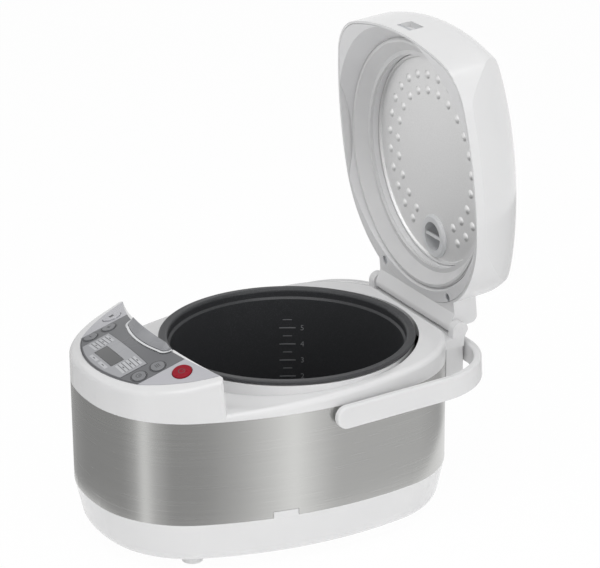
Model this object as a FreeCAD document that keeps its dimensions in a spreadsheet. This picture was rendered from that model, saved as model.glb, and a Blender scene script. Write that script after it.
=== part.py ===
import FreeCAD, Part
import math
import os
import re
import Sketcher

# An oblong five litre rice cooker, drawn with its lid open.
# Millimetres, +Z up, console towards -Y. The origin is on the table, under the pot's axis.

Vector = FreeCAD.Vector
Rotation = FreeCAD.Rotation
Placement = FreeCAD.Placement
X_AXIS = Vector(1, 0, 0)
Y_AXIS = Vector(0, 1, 0)
Z_AXIS = Vector(0, 0, 1)

DIMENSIONS = {
    "Body in plan": {
        "body_half_width": 129, "front_reach": 207.5, "front_radius": 170, "front_corner": 100,
        "side_radius": 366, "side_middle": 9, "rear_reach": 139, "rear_radius": 550, "rear_corner": 90,
    },
    "Heights above the table": {
        "foot_height": 8, "base_top": 50, "band_top": 149, "deck_height": 162.8, "rim_height": 172,
        "deck_tilt": 4,
    },
    "Base": {
        "base_draft": 12.1, "base_round": 16, "round_steps": 5, "base_floor": 3, "base_floor_inset": 24,
        "base_wall": 5,
        "tab_front": -79, "tab_rear": -56, "tab_height": 6, "tab_thick": 2.4, "tab_gap": 0.4,
        "vent_length": 44, "vent_width": 4, "vent_pitch": 10, "vent_count": 7, "vent_start": -30,
        "rib_radius": 96, "rib_wall": 4, "shield_floor": 20,
        "post_radius": 5, "post_front_x": 80, "post_front_y": -118, "post_rear_x": 66, "post_rear_y": 104,
        "post_bottom": 20, "screw_hole": 2.2, "screw_head": 3.8, "screw_head_height": 2.2,
        "screw_shank": 1.9, "screw_length": 22, "pilot_hole": 1.95, "pilot_depth": 16,
        "foot_top": 11, "foot_bottom": 9.5, "foot_front_x": 70, "foot_front_y": -136,
        "foot_rear_x": 72, "foot_rear_y": 86,
    },
    "Steel band": {"band_thick": 1, "pivot_y": -12, "pivot_height": 140.6, "pivot_hole": 5.4},
    "Upper housing": {
        "block_height": 58, "deck_round": 5, "console_wall_reach": 136, "console_wall_radius": 300,
        "cut_half_width": 142, "apex_y": -131, "apex_z": 199, "slope": 17.5, "crown_radius": 430,
        "well_radius": 115.5, "collar_radius": 119, "collar_top": 167.6, "rim_recess": 123,
        "rim_recess_floor": 164, "deck_thick": 3.2, "housing_wall": 4,
        "cavity_depth": 14, "cavity_rear": -144, "cavity_front": -176, "cavity_half": 70,
        "cavity_nose": -192, "cavity_nose_half": 44,
        "lug_half": 11, "lug_inner": 118, "lug_outer": 127.4, "lug_bottom": 129, "lug_top": 160,
        "hinge_half_width": 79, "hinge_cut": 80, "hinge_front": 127, "hinge_root": 120,
        "hinge_rear": 145, "hinge_bottom": 157, "hinge_top": 166,
        "ear_inner": 70, "ear_outer": 79, "ear_radius": 8,
    },
    "Hinge": {
        "hinge_y": 141, "hinge_z": 173, "lid_open": 88.3, "pin_radius": 2.5, "pin_gap": 0.05,
        "pin_half": 78,
    },
    "Console, measured down the slope from its ridge": {
        "film_thick": 0.6, "film_below": 26, "film_height": 40, "film_gap": 0.4,
        "grey_half_width": 61, "grey_front": -54, "grey_front_radius": 119, "film_rear": -5,
        "film_rear_radius": 285, "silver_outer": 102, "silver_rear": 7.3, "silver_radius": 140,
        "surround_half_width": 41, "surround_front": -61, "surround_rear": -33.5, "surround_thick": 0.3,
        "surround_front_radius": 117,
        "window_half_width": 18.5, "window_front": -58.7, "window_rear": -45.6, "window_thick": 2,
        "window_gap": 0.3,
        "bar_half_width": 40, "bar_corner": 7, "bar_front": -15.4, "bar_front_radius": 112,
        "bar_rear": -7.4, "bar_gap": 0.5, "bar_proud": 2.2, "bar_depth": 6, "bar_recess": 10,
        "trim_width": 2.2, "trim_thick": 1.6, "open_rear": 30,
    },
    "Keys": {
        "large_key_radius": 9, "large_key_x": 75, "large_key_y": -144, "small_key_radius": 6.6,
        "small_key_x": 52.5, "upper_key_y": -157, "lower_key_y": -175.5, "key_proud": 1.6,
        "key_depth": 4.5, "key_gap": 0.5, "key_round": 0.8, "key_well": 6,
    },
    "Electronics": {
        "board_half": 67, "board_front": -49, "board_rear": -34, "board_nose": -63,
        "board_nose_half": 41, "board_depth": 20,
        "board_thick": 1.6, "module_half_width": 18, "module_height": 14, "module_front": -58.2,
        "module_rear": -46.1,
    },
    "Latch": {
        "hook_half_width": 7, "hook_slot_half": 8, "hook_pivot_y": -148, "hook_pivot_z": 156,
        "hook_eye": 4, "hook_stem": 2.5, "hook_top": 175, "hook_nose_low": 169, "hook_nose": -132.4,
        "hook_pin": 1.5, "slot_low": 163, "slot_high": 190, "slot_front": -146, "slot_depth": 18,
    },
    "Pot": {
        "pot_radius": 111, "pot_wall": 2, "pot_bottom": 32, "pot_round": 26, "flange_radius": 120,
        "flange_thick": 3.4, "pot_step": 2, "pot_step_drop": 8, "pot_lip": 3,
    },
    "Heater": {
        "shield_outer": 114, "shield_thick": 1, "shield_top": 147, "shield_hole": 34, "shield_foot": 103,
        "shield_shoulder": 38,
        "plate_radius": 88, "plate_thick": 7, "plate_hole": 19, "plate_bevel": 2, "leg_radius": 5,
        "leg_ring": 60, "sensor_radius": 16, "sensor_gap": 0.2, "sensor_cap": 6, "sensor_stem": 5,
        "sensor_bottom": 13,
    },
    "Handle": {
        "arm_outer": 140, "arm_thick": 7.5, "bail_reach": 156, "bail_corner": 65, "bail_height": 22,
        "bail_lift": 3, "bail_round": 2.4, "pivot_radius": 5, "pivot_gap": 0.06, "pivot_inner": 119,
        "pivot_outer": 138, "pivot_socket": 138.4,
    },
    "Lid in plan": {
        "lid_half_width": 123.5, "lid_side_radius": 360.5, "lid_front": 133.6, "lid_front_radius": 295,
        "lid_front_corner": 50, "lid_rear": 133, "lid_rear_radius": 550, "lid_rear_corner": 110,
    },
    "Lid, above its parting plane": {
        "parting_height": 163.5, "lid_block": 82, "lid_crown": 75, "dome_radius": 600, "dome_reach": 200,
        "lid_round": 26, "facet_start": 9, "facet_end": 72, "facet_depth": 46, "facet_radius": 112,
        "facet_reach": 150, "cavity_low": 2.4, "cavity_skirt": 2.6, "cavity_mid": 8.4,
        "cavity_high": 46, "skirt_height": 10, "cavity_mid_height": 24, "cavity_top": 62,
        "liner_gap": 0.4, "liner_top": 50,
        "neck_half": 69.3, "neck_front": 84, "neck_rear": 142, "neck_height": 24,
        "neck_round": 7, "barrel_radius": 6.4,
        "catch_half": 12, "catch_depth": 6, "catch_low": 9, "catch_high": 24, "catch_bar": 4,
        "catch_gap": 0.3, "notch_low": 161.5, "notch_high": 180.5, "notch_rear": -125.4, "cap_seat": 66,
    },
    "Lid inside, as when closed": {
        "ring_plane": 186, "bowl_radius": 136, "ring_radius": 112, "plate_recess": 101.2, "plate_step": 7.6,
        "sheet": 1, "plate_edge": 100.6, "plate_flat": 97.6, "plate_rim": 2,
        "bump_radius": 4.4, "bump_rise": 1.6, "outer_ring": 82, "inner_ring": 67,
        "outer_bumps": 24, "inner_bumps": 20, "bump_sweep": 300, "bump_start": 120,
        "gasket_inner": 101.8, "gasket_outer": 111.4, "gasket_flat": 3, "lip_root": 106, "lip_thick": 3.4,
        "lip_tip": 115.2, "lip_tip_width": 2.4, "gasket_tip": 172.8,
        "vent_y": 76, "vent_radius": 21, "vent_inner": 14, "vent_rise": 3, "vent_sleeve": 16.4,
        "vent_sleeve_top": 205, "vent_bore": 17, "cap_radius": 23, "cap_height": 6, "cap_stem": 15,
        "cap_stem_length": 12, "cap_gap": 0.6, "cap_round": 3,
        "lid_screw_x": 58, "lid_screw_y": 115, "lid_screw_hole": 4.2, "lid_screw_sunk": 3.4,
        "lid_screw_head": 3.6, "lid_screw_shank": 1.6, "lid_screw_length": 5, "lid_screw_pilot": 1.7,
    },
    "Condensate cup": {
        "cup_half": 76.5, "cup_front": 120, "cup_rear": 147, "cup_top": 156.4, "cup_bottom": 118,
        "cup_gap": 0.5, "cup_wall": 2, "cup_hollow_mid": 142.2, "cup_hollow_radius": 265, "cup_round": 3,
    },
    "Mains inlet": {
        "inlet_z": 72, "inlet_half": 23, "inlet_half_height": 16, "inlet_flange": 2.2,
        "inlet_body": 18, "inlet_body_height": 12.5, "inlet_inner": 120, "inlet_round": 4,
        "mouth_half": 12.4, "mouth_height": 8.4, "mouth_depth": 16, "inlet_seat": 139.3,
        "inlet_gap": 0.3, "prong_spacing": 7, "prong_offset": 2, "prong_width": 4, "prong_thick": 2,
        "prong_length": 14,
    },
}

doc = FreeCAD.newDocument("rice_cooker")
sheet = doc.addObject("Spreadsheet::Sheet", "dims")
nodes = []
ALIASES = {alias for cells in DIMENSIONS.values() for alias in cells}


def fill_sheet():
    row = 1
    for heading, cells in DIMENSIONS.items():
        sheet.set(f"A{row}", heading)
        row += 1
        for alias, number in cells.items():
            sheet.set(f"A{row}", alias.replace("_", " "))
            sheet.set(f"B{row}", str(number))
            sheet.setAlias(f"B{row}", alias)
            row += 1
    doc.recompute()


def ex(text):
    """A formula in the sheet's own words, with each word pointed at its cell."""
    return re.sub(r"[a-z_]+", lambda m: f"dims.{m[0]}" if m[0] in ALIASES else m[0], str(text))


def val(text):
    return float(sheet.evalExpression(ex(text)))


def bind(thing, prop, text):
    thing.setExpression(prop, ex(text))


def new_body(name, placement=None):
    body = doc.addObject("PartDesign::Body", name)
    body.Label = name
    if placement is not None:
        body.Placement = placement
    nodes.append(body)
    return body


def new_sketch(body, name, role="XY_Plane", height="0", frame=None):
    """A sketch on one of the body's own planes, lifted by height or set in a frame of its own."""
    sketch = body.newObject("Sketcher::SketchObject", f"{body.Name}_{name}")
    plane = next(f for f in body.Origin.OriginFeatures if f.Role == role)
    sketch.AttachmentSupport = [(plane, "")]
    sketch.MapMode = "FlatFace"
    if frame is not None:
        sketch.AttachmentOffset = frame
    else:
        bind(sketch, "AttachmentOffset.Base.z", height)
    return sketch


def constrain(sketch, kind, *where, size):
    number = sketch.addConstraint(Sketcher.Constraint(kind, *where, val(size)))
    bind(sketch, f"Constraints[{number}]", size)


def pin(sketch, geometry, end, x, y):
    constrain(sketch, "DistanceX", -1, 1, geometry, end, size=x)
    constrain(sketch, "DistanceY", -1, 1, geometry, end, size=y)


def circle(sketch, radius, x="0", y="0"):
    middle = Vector(val(x), val(y), 0)
    number = sketch.addGeometry(Part.Circle(middle, Z_AXIS, val(radius)))
    constrain(sketch, "Radius", number, size=radius)
    pin(sketch, number, 3, x, y)


def arc_between(start, end, radius):
    """The short arc from start to end. A positive radius turns left, a negative one turns right."""
    chord = end - start
    half = chord.Length / 2
    left = Vector(-chord.y, chord.x, 0).normalize()
    rise = math.sqrt(max(0, radius * radius - half * half))
    centre = (start + end) * 0.5 + left * math.copysign(rise, radius)
    first, last = (start, end) if radius > 0 else (end, start)
    angles = [math.atan2(p.y - centre.y, p.x - centre.x) for p in (first, last)]
    return Part.ArcOfCircle(Part.Circle(centre, Z_AXIS, abs(radius)), *angles)


def path(sketch, *corners):
    """A closed outline through corners. A corner's third item is the radius of the arc to the next."""
    points = [Vector(val(c[0]), val(c[1]), 0) for c in corners]
    runs = []
    for i, corner in enumerate(corners):
        start, end = points[i], points[(i + 1) % len(points)]
        radius = val(corner[2]) if len(corner) > 2 else 0
        shape = arc_between(start, end, radius) if radius else Part.LineSegment(start, end)
        runs.append((sketch.addGeometry(shape), (2, 1) if radius < 0 else (1, 2)))
    for i, (run, (head, tail)) in enumerate(runs):
        after, (next_head, _) = runs[(i + 1) % len(runs)]
        sketch.addConstraint(Sketcher.Constraint("Coincident", run, tail, after, next_head))
        pin(sketch, run, head, corners[i][0], corners[i][1])
        if len(corners[i]) > 2:
            fix_arc(sketch, run, corners[i], corners[(i + 1) % len(corners)])


def fix_arc(sketch, run, corner, after):
    """Set an arc's radius. A half circle takes its centre's place between its ends instead."""
    across, along = (val(f"({after[k]}) - ({corner[k]})") for k in (0, 1))
    if abs(math.hypot(across, along) - abs(2 * val(corner[2]))) > 1e-6:
        constrain(sketch, "Radius", run, size=f"abs({corner[2]})")
    elif abs(across) > abs(along):
        constrain(sketch, "DistanceY", -1, 1, run, 3, size=f"(({corner[1]}) + ({after[1]})) / 2")
    else:
        constrain(sketch, "DistanceX", -1, 1, run, 3, size=f"(({corner[0]}) + ({after[0]})) / 2")


def rectangle(sketch, left, low, right, high):
    path(sketch, (left, low), (right, low), (right, high), (left, high))


def axis_line(sketch, x):
    """An upright construction line to turn a profile about."""
    line = Part.LineSegment(Vector(val(x), 0, 0), Vector(val(x), 1, 0))
    number = sketch.addGeometry(line, True)
    pin(sketch, number, 1, x, "0")
    pin(sketch, number, 2, x, "1")


def corner_centre(near, near_reach, far, far_reach, side):
    """Where two circles cross, on the side of larger or smaller Y."""
    gap = far - near
    along = (gap.Length ** 2 + near_reach ** 2 - far_reach ** 2) / (2 * gap.Length)
    across = math.sqrt(near_reach ** 2 - along ** 2)
    unit = gap * (1 / gap.Length)
    found = [near + unit * along + Vector(-unit.y, unit.x, 0) * sign * across for sign in (1, -1)]
    return max(found, key=lambda p: p.y * side)


BODY_PLAN = ("body_half_width", "side_radius", "front_reach", "front_radius", "front_corner",
             "rear_reach", "rear_radius", "rear_corner")
LID_PLAN = ("lid_half_width", "lid_side_radius", "lid_front", "lid_front_radius", "lid_front_corner",
            "lid_rear", "lid_rear_radius", "lid_rear_corner")
PLAN_ORDER = [("front", "front"), ("front right", "fc"), ("right", "side"), ("rear right", "rc"),
              ("rear", "rear"), ("rear left", "rc"), ("left", "side"), ("front left", "fc")]


def plan_outline(sketch, plan, inset="0"):
    """Eight arcs that run smoothly into each other: front, rear, two sides and the corners between."""
    half, side_r, front, front_r, front_corner, rear, rear_r, rear_corner = plan
    radii = {"front": front_r, "rear": rear_r, "side": side_r, "fc": front_corner, "rc": rear_corner}
    size = {key: val(f"{text} - ({inset})") for key, text in radii.items()}
    centres = {
        "front": ("0", f"{front_r} - {front}"), "rear": ("0", f"{rear} - {rear_r}"),
        "right": (f"{half} - {side_r}", "-side_middle"), "left": (f"{side_r} - {half}", "-side_middle"),
    }
    spot = {key: Vector(val(x), val(y), 0) for key, (x, y) in centres.items()}
    for end, corner, way in (("front", "fc", -1), ("rear", "rc", 1)):
        for side in ("right", "left"):
            reaches = size[end] - size[corner], size["side"] - size[corner]
            spot[f"{end} {side}"] = corner_centre(spot[end], reaches[0], spot[side], reaches[1], way)
    joints = []
    for i, (name, kind) in enumerate(PLAN_ORDER):
        after, after_kind = PLAN_ORDER[(i + 1) % 8]
        big, small = (name, after) if size[kind] > size[after_kind] else (after, name)
        outward = (spot[small] - spot[big]).normalize()
        joints.append(spot[big] + outward * max(size[kind], size[after_kind]))
    arcs = []
    for i, (name, kind) in enumerate(PLAN_ORDER):
        ends = [joints[i - 1] - spot[name], joints[i] - spot[name]]
        angles = [math.atan2(p.y, p.x) for p in ends]
        shape = Part.ArcOfCircle(Part.Circle(spot[name], Z_AXIS, size[kind]), *angles)
        arcs.append(sketch.addGeometry(shape))
    for i, (name, kind) in enumerate(PLAN_ORDER):
        sketch.addConstraint(Sketcher.Constraint("Tangent", arcs[i], 2, arcs[(i + 1) % 8], 1))
        constrain(sketch, "Radius", arcs[i], size=f"{radii[kind]} - ({inset})")
        if name in centres:
            pin(sketch, arcs[i], 3, *centres[name])


def add_feature(body, kind, name, sketch, **settings):
    feature = body.newObject(f"PartDesign::{kind}", f"{body.Name}_{name}")
    feature.Profile = sketch
    for prop, setting in settings.items():
        setattr(feature, prop, setting)
    return feature


def pad(body, name, sketch, length, **settings):
    feature = add_feature(body, "Pad", name, sketch, **settings)
    bind(feature, "Length", length)
    return feature


def must_cut(before, feature):
    doc.recompute()
    if not feature.Shape.Volume < before - 1e-3:
        raise RuntimeError(f"{feature.Name} cuts nothing")


def pocket(body, name, sketch, length=None, **settings):
    """A cut against the sketch's normal, to its depth or right through. Reversed=True turns it over."""
    doc.recompute()
    before = body.Shape.Volume
    feature = add_feature(body, "Pocket", name, sketch, **settings)
    if length is None:
        feature.Type = "ThroughAll"
    else:
        bind(feature, "Length", length)
    must_cut(before, feature)
    return feature


def loft(body, kind, name, sketches, **settings):
    feature = add_feature(body, kind, name, sketches[0], **{"Ruled": True, **settings})
    feature.Sections = sketches[1:]
    return feature


def revolve(body, name, sketch, axis="V_Axis"):
    return add_feature(body, "Revolution", name, sketch, ReferenceAxis=(sketch, [axis]), Angle=360)


def groove(body, name, sketch, axis="V_Axis"):
    doc.recompute()
    before = body.Shape.Volume
    feature = add_feature(body, "Groove", name, sketch, ReferenceAxis=(sketch, [axis]), Angle=360)
    must_cut(before, feature)
    return feature


def round_edges(body, name, radius, wanted):
    """Round the edges of the body so far that the test wanted(edge) picks."""
    doc.recompute()
    base = body.Tip
    picked = [f"Edge{i}" for i, edge in enumerate(base.Shape.Edges, 1) if wanted(edge)]
    feature = body.newObject("PartDesign::Fillet", f"{body.Name}_{name}")
    feature.Base = (base, picked)
    bind(feature, "Radius", radius)
    doc.recompute()
    return feature


def repeat(body, kind, name, feature, **settings):
    copy = body.newObject(f"PartDesign::{kind}", f"{body.Name}_{name}")
    copy.Originals = [feature]
    for prop, setting in settings.items():
        setattr(copy, prop, setting)
    body.Tip = copy
    return copy


def origin_item(body, role):
    return (next(f for f in body.Origin.OriginFeatures if f.Role == role), [""])


def mirrored(body, name, feature):
    return repeat(body, "Mirrored", name, feature, MirrorPlane=origin_item(body, "YZ_Plane"))


def around(body, name, feature, count, sweep="360"):
    copy = repeat(body, "PolarPattern", name, feature, Axis=origin_item(body, "Z_Axis"))
    bind(copy, "Angle", sweep)
    bind(copy, "Occurrences", count)
    return copy


def group(name, pieces, placement=None):
    """One node of several separate solids."""
    bunch = doc.addObject("Part::Compound", name)
    bunch.Label = name
    bunch.Links = pieces
    if placement is not None:
        bunch.Placement = placement
    nodes.append(bunch)
    return bunch


def edge_spot(edge):
    return edge.valueAt((edge.FirstParameter + edge.LastParameter) / 2)


def on_outline(edge, outline):
    """Whether an edge, seen from above, runs along the sketched outline."""
    if edge.Degenerated:
        return False
    spot = edge_spot(edge)
    level = outline.BoundBox.ZMin
    ends = [v.Point for v in (edge.Vertexes[0], edge.Vertexes[-1])]
    upright = math.hypot(ends[0].x - ends[1].x, ends[0].y - ends[1].y) < 0.01
    return not upright and outline.distToShape(Part.Vertex(spot.x, spot.y, level))[0] < 0.01


# Frames and outlines that several pieces share

def tilted(height):
    """The frame of the deck's slant at height over the pot's axis. It rises towards the rear."""
    return Placement(Vector(0, 0, val(height)), Rotation(X_AXIS, val("deck_tilt")))


def slope_frame(lift):
    """The frame of the plane that touches the ridge of the console, raised by lift."""
    ridge = Placement(Vector(0, val("apex_y"), val("apex_z")), Rotation(X_AXIS, val("slope")))
    return ridge.multiply(Placement(Vector(0, 0, val(lift)), Rotation()))


def crown_frame(lift):
    """The upright frame across the console, square to its slope, raised by lift."""
    ridge = Placement(Vector(0, val("apex_z"), -val("apex_y")), Rotation(X_AXIS, val("slope")))
    return ridge.multiply(Placement(Vector(0, val(lift), 0), Rotation()))


def console_spot(x, y, lift="0"):
    """A frame on the console face at x, y, with its Z axis square to the face, raised by lift."""
    slope = math.radians(val("slope"))
    radius = val("crown_radius")
    roll = math.asin(val(x) / radius)
    drop = radius * (1 - math.cos(roll))
    z = val("apex_z") + val(f"{y} - apex_y") * math.tan(slope) - drop / math.cos(slope)
    turn = Rotation(X_AXIS, math.degrees(slope)).multiply(Rotation(Y_AXIS, math.degrees(roll)))
    spot = Placement(Vector(val(x), val(y), z), turn)
    return spot.multiply(Placement(Vector(0, 0, val(lift)), Rotation()))


CROWN_SAG = "(sqrt(crown_radius^2 - cut_half_width^2) - crown_radius)"


def cut_over_crown(body, lift):
    """Take away what stands above the crowned console face, raised by lift."""
    sketch = new_sketch(body, "crown_top", "XZ_Plane", frame=crown_frame(lift))
    path(sketch, ("-cut_half_width", CROWN_SAG, "-crown_radius"), ("cut_half_width", CROWN_SAG),
         ("cut_half_width", "block_height"), ("-cut_half_width", "block_height"))
    pocket(body, "crown_top_cut", sketch, SideType="Symmetric")


def cut_under_crown(body, lift):
    """Take away what lies below the crowned console face, raised by lift."""
    sketch = new_sketch(body, "crown_under", "XZ_Plane", frame=crown_frame(lift))
    path(sketch, ("cut_half_width", CROWN_SAG, "crown_radius"), ("-cut_half_width", CROWN_SAG),
         ("-cut_half_width", "-2 * block_height"), ("cut_half_width", "-2 * block_height"))
    pocket(body, "crown_under_cut", sketch, SideType="Symmetric")


def lid_closed():
    """Where pieces drawn as in the closed lid go: swung open about the hinge."""
    hinge = Vector(0, val("hinge_y"), val("hinge_z"))
    return Placement(Vector(), Rotation(X_AXIS, -val("lid_open")), hinge)


def lid_parting():
    """Where pieces drawn from the lid's parting plane go."""
    return lid_closed().multiply(tilted("parting_height"))


HINGE_ALONG = "(hinge_y * cos(deck_tilt) + (hinge_z - parting_height) * sin(deck_tilt))"
HINGE_ABOVE = "((hinge_z - parting_height) * cos(deck_tilt) - hinge_y * sin(deck_tilt))"


def side_x(y, inset):
    """X of the body's side arc at y, moved in by inset."""
    return f"(body_half_width - side_radius + sqrt((side_radius - {inset})^2 - ({y} + side_middle)^2))"


def posts():
    return [(f"{side}post_{end}_x", f"post_{end}_y") for end in ("front", "rear") for side in ("", "-")]


SMALL_KEYS = {"menu_key": ("small_key_x", "upper_key_y"), "timer_key": ("small_key_x", "lower_key_y"),
              "plus_key": ("-small_key_x", "upper_key_y"), "minus_key": ("-small_key_x", "lower_key_y")}
LARGE_KEYS = {"start_key": ("large_key_x", "large_key_y"), "cancel_key": ("-large_key_x", "large_key_y")}


# Base: a tapered tray with a rounded underside, side tabs, vents, a support rib and screw bosses

def make_base_pan():
    body = new_body("base_pan")
    steps = int(val("round_steps"))
    middle = ("((base_top - foot_height - base_round) * tan(base_draft)"
              " + base_round / cos(base_draft))")
    sections = []
    for i in range(steps + 1):
        turn = f"((90 - base_draft) * {i} / round_steps)"
        section = new_sketch(body, f"round_{i}", height=f"foot_height + base_round * (1 - cos{turn})")
        plan_outline(section, BODY_PLAN, f"{middle} - base_round * sin{turn}")
        sections.append(section)
    loft(body, "AdditiveLoft", "rounded_underside", sections, Ruled=False)
    seam = new_sketch(body, "seam", height="base_top")
    plan_outline(seam, BODY_PLAN)
    loft(body, "AdditiveLoft", "side", [sections[-1], seam])
    low = new_sketch(body, "hollow_low", height="foot_height + base_floor")
    plan_outline(low, BODY_PLAN, "base_floor_inset")
    high = new_sketch(body, "hollow_high", height="base_top")
    plan_outline(high, BODY_PLAN, "base_wall")
    loft(body, "SubtractiveLoft", "hollow", [low, high])
    rib = new_sketch(body, "rib", height="foot_height + base_floor")
    circle(rib, "rib_radius")
    circle(rib, "rib_radius - rib_wall")
    pad(body, "rib_pad", rib, "shield_floor - foot_height - base_floor")
    bosses = new_sketch(body, "bosses", height="foot_height + base_floor / 2")
    for x, y in posts():
        circle(bosses, "post_radius", x, y)
    pad(body, "boss_pad", bosses, "post_bottom - foot_height - base_floor / 2")
    tab = new_sketch(body, "tab", height="base_top")
    path(tab, (side_x("tab_front", "0"), "tab_front"), (side_x("tab_rear", "0"), "tab_rear"),
         (side_x("tab_rear", "tab_thick"), "tab_rear"), (side_x("tab_front", "tab_thick"), "tab_front"))
    mirrored(body, "tabs", pad(body, "tab_pad", tab, "tab_height"))
    slot = new_sketch(body, "vent", height="foot_height")
    rectangle(slot, "-vent_length / 2", "vent_start - vent_width / 2", "vent_length / 2",
              "vent_start + vent_width / 2")
    vent = pocket(body, "vent_cut", slot, "base_floor", Reversed=True)
    vents = repeat(body, "LinearPattern", "vents", vent, Direction=origin_item(body, "Y_Axis"))
    bind(vents, "Length", "vent_pitch * (vent_count - 1)")
    bind(vents, "Occurrences", "vent_count")
    holes = new_sketch(body, "screw_holes", height="foot_height")
    for x, y in posts():
        circle(holes, "screw_hole", x, y)
    pocket(body, "screw_cut", holes, "post_bottom - foot_height", Reversed=True)


def make_feet():
    feet = []
    for end in ("front", "rear"):
        for side, sign in (("right", 1), ("left", -1)):
            foot = doc.addObject("Part::Cone", f"foot_{end}_{side}")
            bind(foot, "Radius1", "foot_bottom")
            bind(foot, "Radius2", "foot_top")
            bind(foot, "Height", "foot_height")
            bind(foot, "Placement.Base.x", f"{sign} * foot_{end}_x")
            bind(foot, "Placement.Base.y", f"foot_{end}_y")
            feet.append(foot)
    group("feet", feet)


def screw(name, head, head_height, shank, length, spot):
    """A screw with a plain round head. Its head ends and its shank begins at spot, and it points up."""
    top = doc.addObject("Part::Cylinder", f"{name}_head")
    bind(top, "Radius", head)
    bind(top, "Height", head_height)
    bind(top, "Placement.Base.z", f"-{head_height}")
    stem = doc.addObject("Part::Cylinder", f"{name}_shank")
    bind(stem, "Radius", shank)
    bind(stem, "Height", length)
    whole = doc.addObject("Part::Fuse", name)
    whole.Base = top
    whole.Tool = stem
    for axis, place in zip("xyz", spot):
        bind(whole, f"Placement.Base.{axis}", place)
    return whole


def make_base_screws():
    group("base_screws", [
        screw(f"base_screw_{i}", "screw_head", "screw_head_height", "screw_shank", "screw_length",
              (x, y, "foot_height")) for i, (x, y) in enumerate(posts(), 1)])


# Steel wrap: a thin closed band with notches for the base tabs, pivot holes and the inlet's window

def make_steel_band():
    body = new_body("steel_band")
    ring = new_sketch(body, "ring", height="base_top")
    plan_outline(ring, BODY_PLAN)
    plan_outline(ring, BODY_PLAN, "band_thick")
    pad(body, "wrap", ring, "band_top - base_top")
    notch = new_sketch(body, "notches", "YZ_Plane")
    rectangle(notch, "tab_front - tab_gap", "base_top - tab_gap", "tab_rear + tab_gap",
              "base_top + tab_height + tab_gap")
    pocket(body, "notch_cut", notch, SideType="Symmetric")
    hole = new_sketch(body, "pivot_holes", "YZ_Plane")
    circle(hole, "pivot_hole", "pivot_y", "pivot_height")
    pocket(body, "pivot_cut", hole, SideType="Symmetric")
    window = new_sketch(body, "inlet_window", "XZ_Plane")
    rectangle(window, "-inlet_body - inlet_gap", "inlet_z - inlet_body_height - inlet_gap",
              "inlet_body + inlet_gap", "inlet_z + inlet_body_height + inlet_gap")
    pocket(body, "inlet_cut", window, "rear_reach + inlet_half")


# Top moulding: slanting deck, crowned console, pot well with collar, hinge block, lugs and screw posts

def shape_outside(body):
    block = new_sketch(body, "block", height="band_top")
    plan_outline(block, BODY_PLAN)
    pad(body, "block_pad", block, "block_height")
    deck = new_sketch(body, "deck", frame=tilted("deck_height"))
    reach = "(console_wall_radius - console_wall_reach - sqrt(console_wall_radius^2 - cut_half_width^2))"
    path(deck, ("-cut_half_width", reach, "console_wall_radius"), ("cut_half_width", reach),
         ("cut_half_width", "2 * rear_reach"), ("-cut_half_width", "2 * rear_reach"))
    pocket(body, "deck_cut", deck, Reversed=True)
    cut_over_crown(body, "0")
    above = val("band_top + 1")
    round_edges(body, "shoulder", "deck_round",
                lambda e: on_outline(e, block.Shape) and edge_spot(e).z > above)


def hollow_out(body):
    under = new_sketch(body, "under_deck", frame=tilted("deck_height - deck_thick"))
    plan_outline(under, BODY_PLAN, "housing_wall")
    pocket(body, "under_deck_cut", under)
    recess = new_sketch(body, "rim_recess", height="rim_recess_floor")
    circle(recess, "rim_recess")
    pocket(body, "rim_recess_cut", recess, Reversed=True)
    well = new_sketch(body, "well", height="band_top")
    circle(well, "well_radius")
    pocket(body, "well_cut", well, Reversed=True)
    collar = new_sketch(body, "collar", height="band_top")
    circle(collar, "collar_radius")
    circle(collar, "well_radius")
    pad(body, "collar_pad", collar, "collar_top - band_top")
    ceiling = "(apex_z - cavity_depth + ({} - apex_y) * tan(slope))"
    for front, half in (("cavity_front", "cavity_half"), ("cavity_nose", "cavity_nose_half")):
        cavity = new_sketch(body, half, "YZ_Plane")
        path(cavity, (front, "band_top - 1"), ("cavity_rear", "band_top - 1"),
             ("cavity_rear", ceiling.format("cavity_rear")), (front, ceiling.format(front)))
        pocket(body, f"{half}_cut", cavity, f"2 * {half}", SideType="Symmetric")


def add_hinge_seat(body):
    lowered = new_sketch(body, "hinge_cut", height="hinge_top")
    rectangle(lowered, "-hinge_cut", "hinge_front", "hinge_cut", "hinge_rear + 5")
    pocket(body, "hinge_cut_out", lowered, Reversed=True)
    block = new_sketch(body, "hinge_block", height="hinge_bottom")
    rectangle(block, "-hinge_half_width", "hinge_root", "hinge_half_width", "hinge_rear")
    pad(body, "hinge_block_pad", block, "hinge_top - hinge_bottom")
    ear = new_sketch(body, "ear", "YZ_Plane", height="ear_inner")
    path(ear, ("hinge_y - ear_radius", "hinge_top - 1"), ("hinge_rear", "hinge_top - 1"),
         ("hinge_y + ear_radius", "hinge_z", "ear_radius"), ("hinge_y - ear_radius", "hinge_z"))
    mirrored(body, "ears", pad(body, "ear_pad", ear, "ear_outer - ear_inner"))
    bore = new_sketch(body, "ear_bore", "YZ_Plane")
    circle(bore, "pin_radius + pin_gap", "hinge_y", "hinge_z")
    pocket(body, "ear_bore_cut", bore, SideType="Symmetric")


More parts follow.
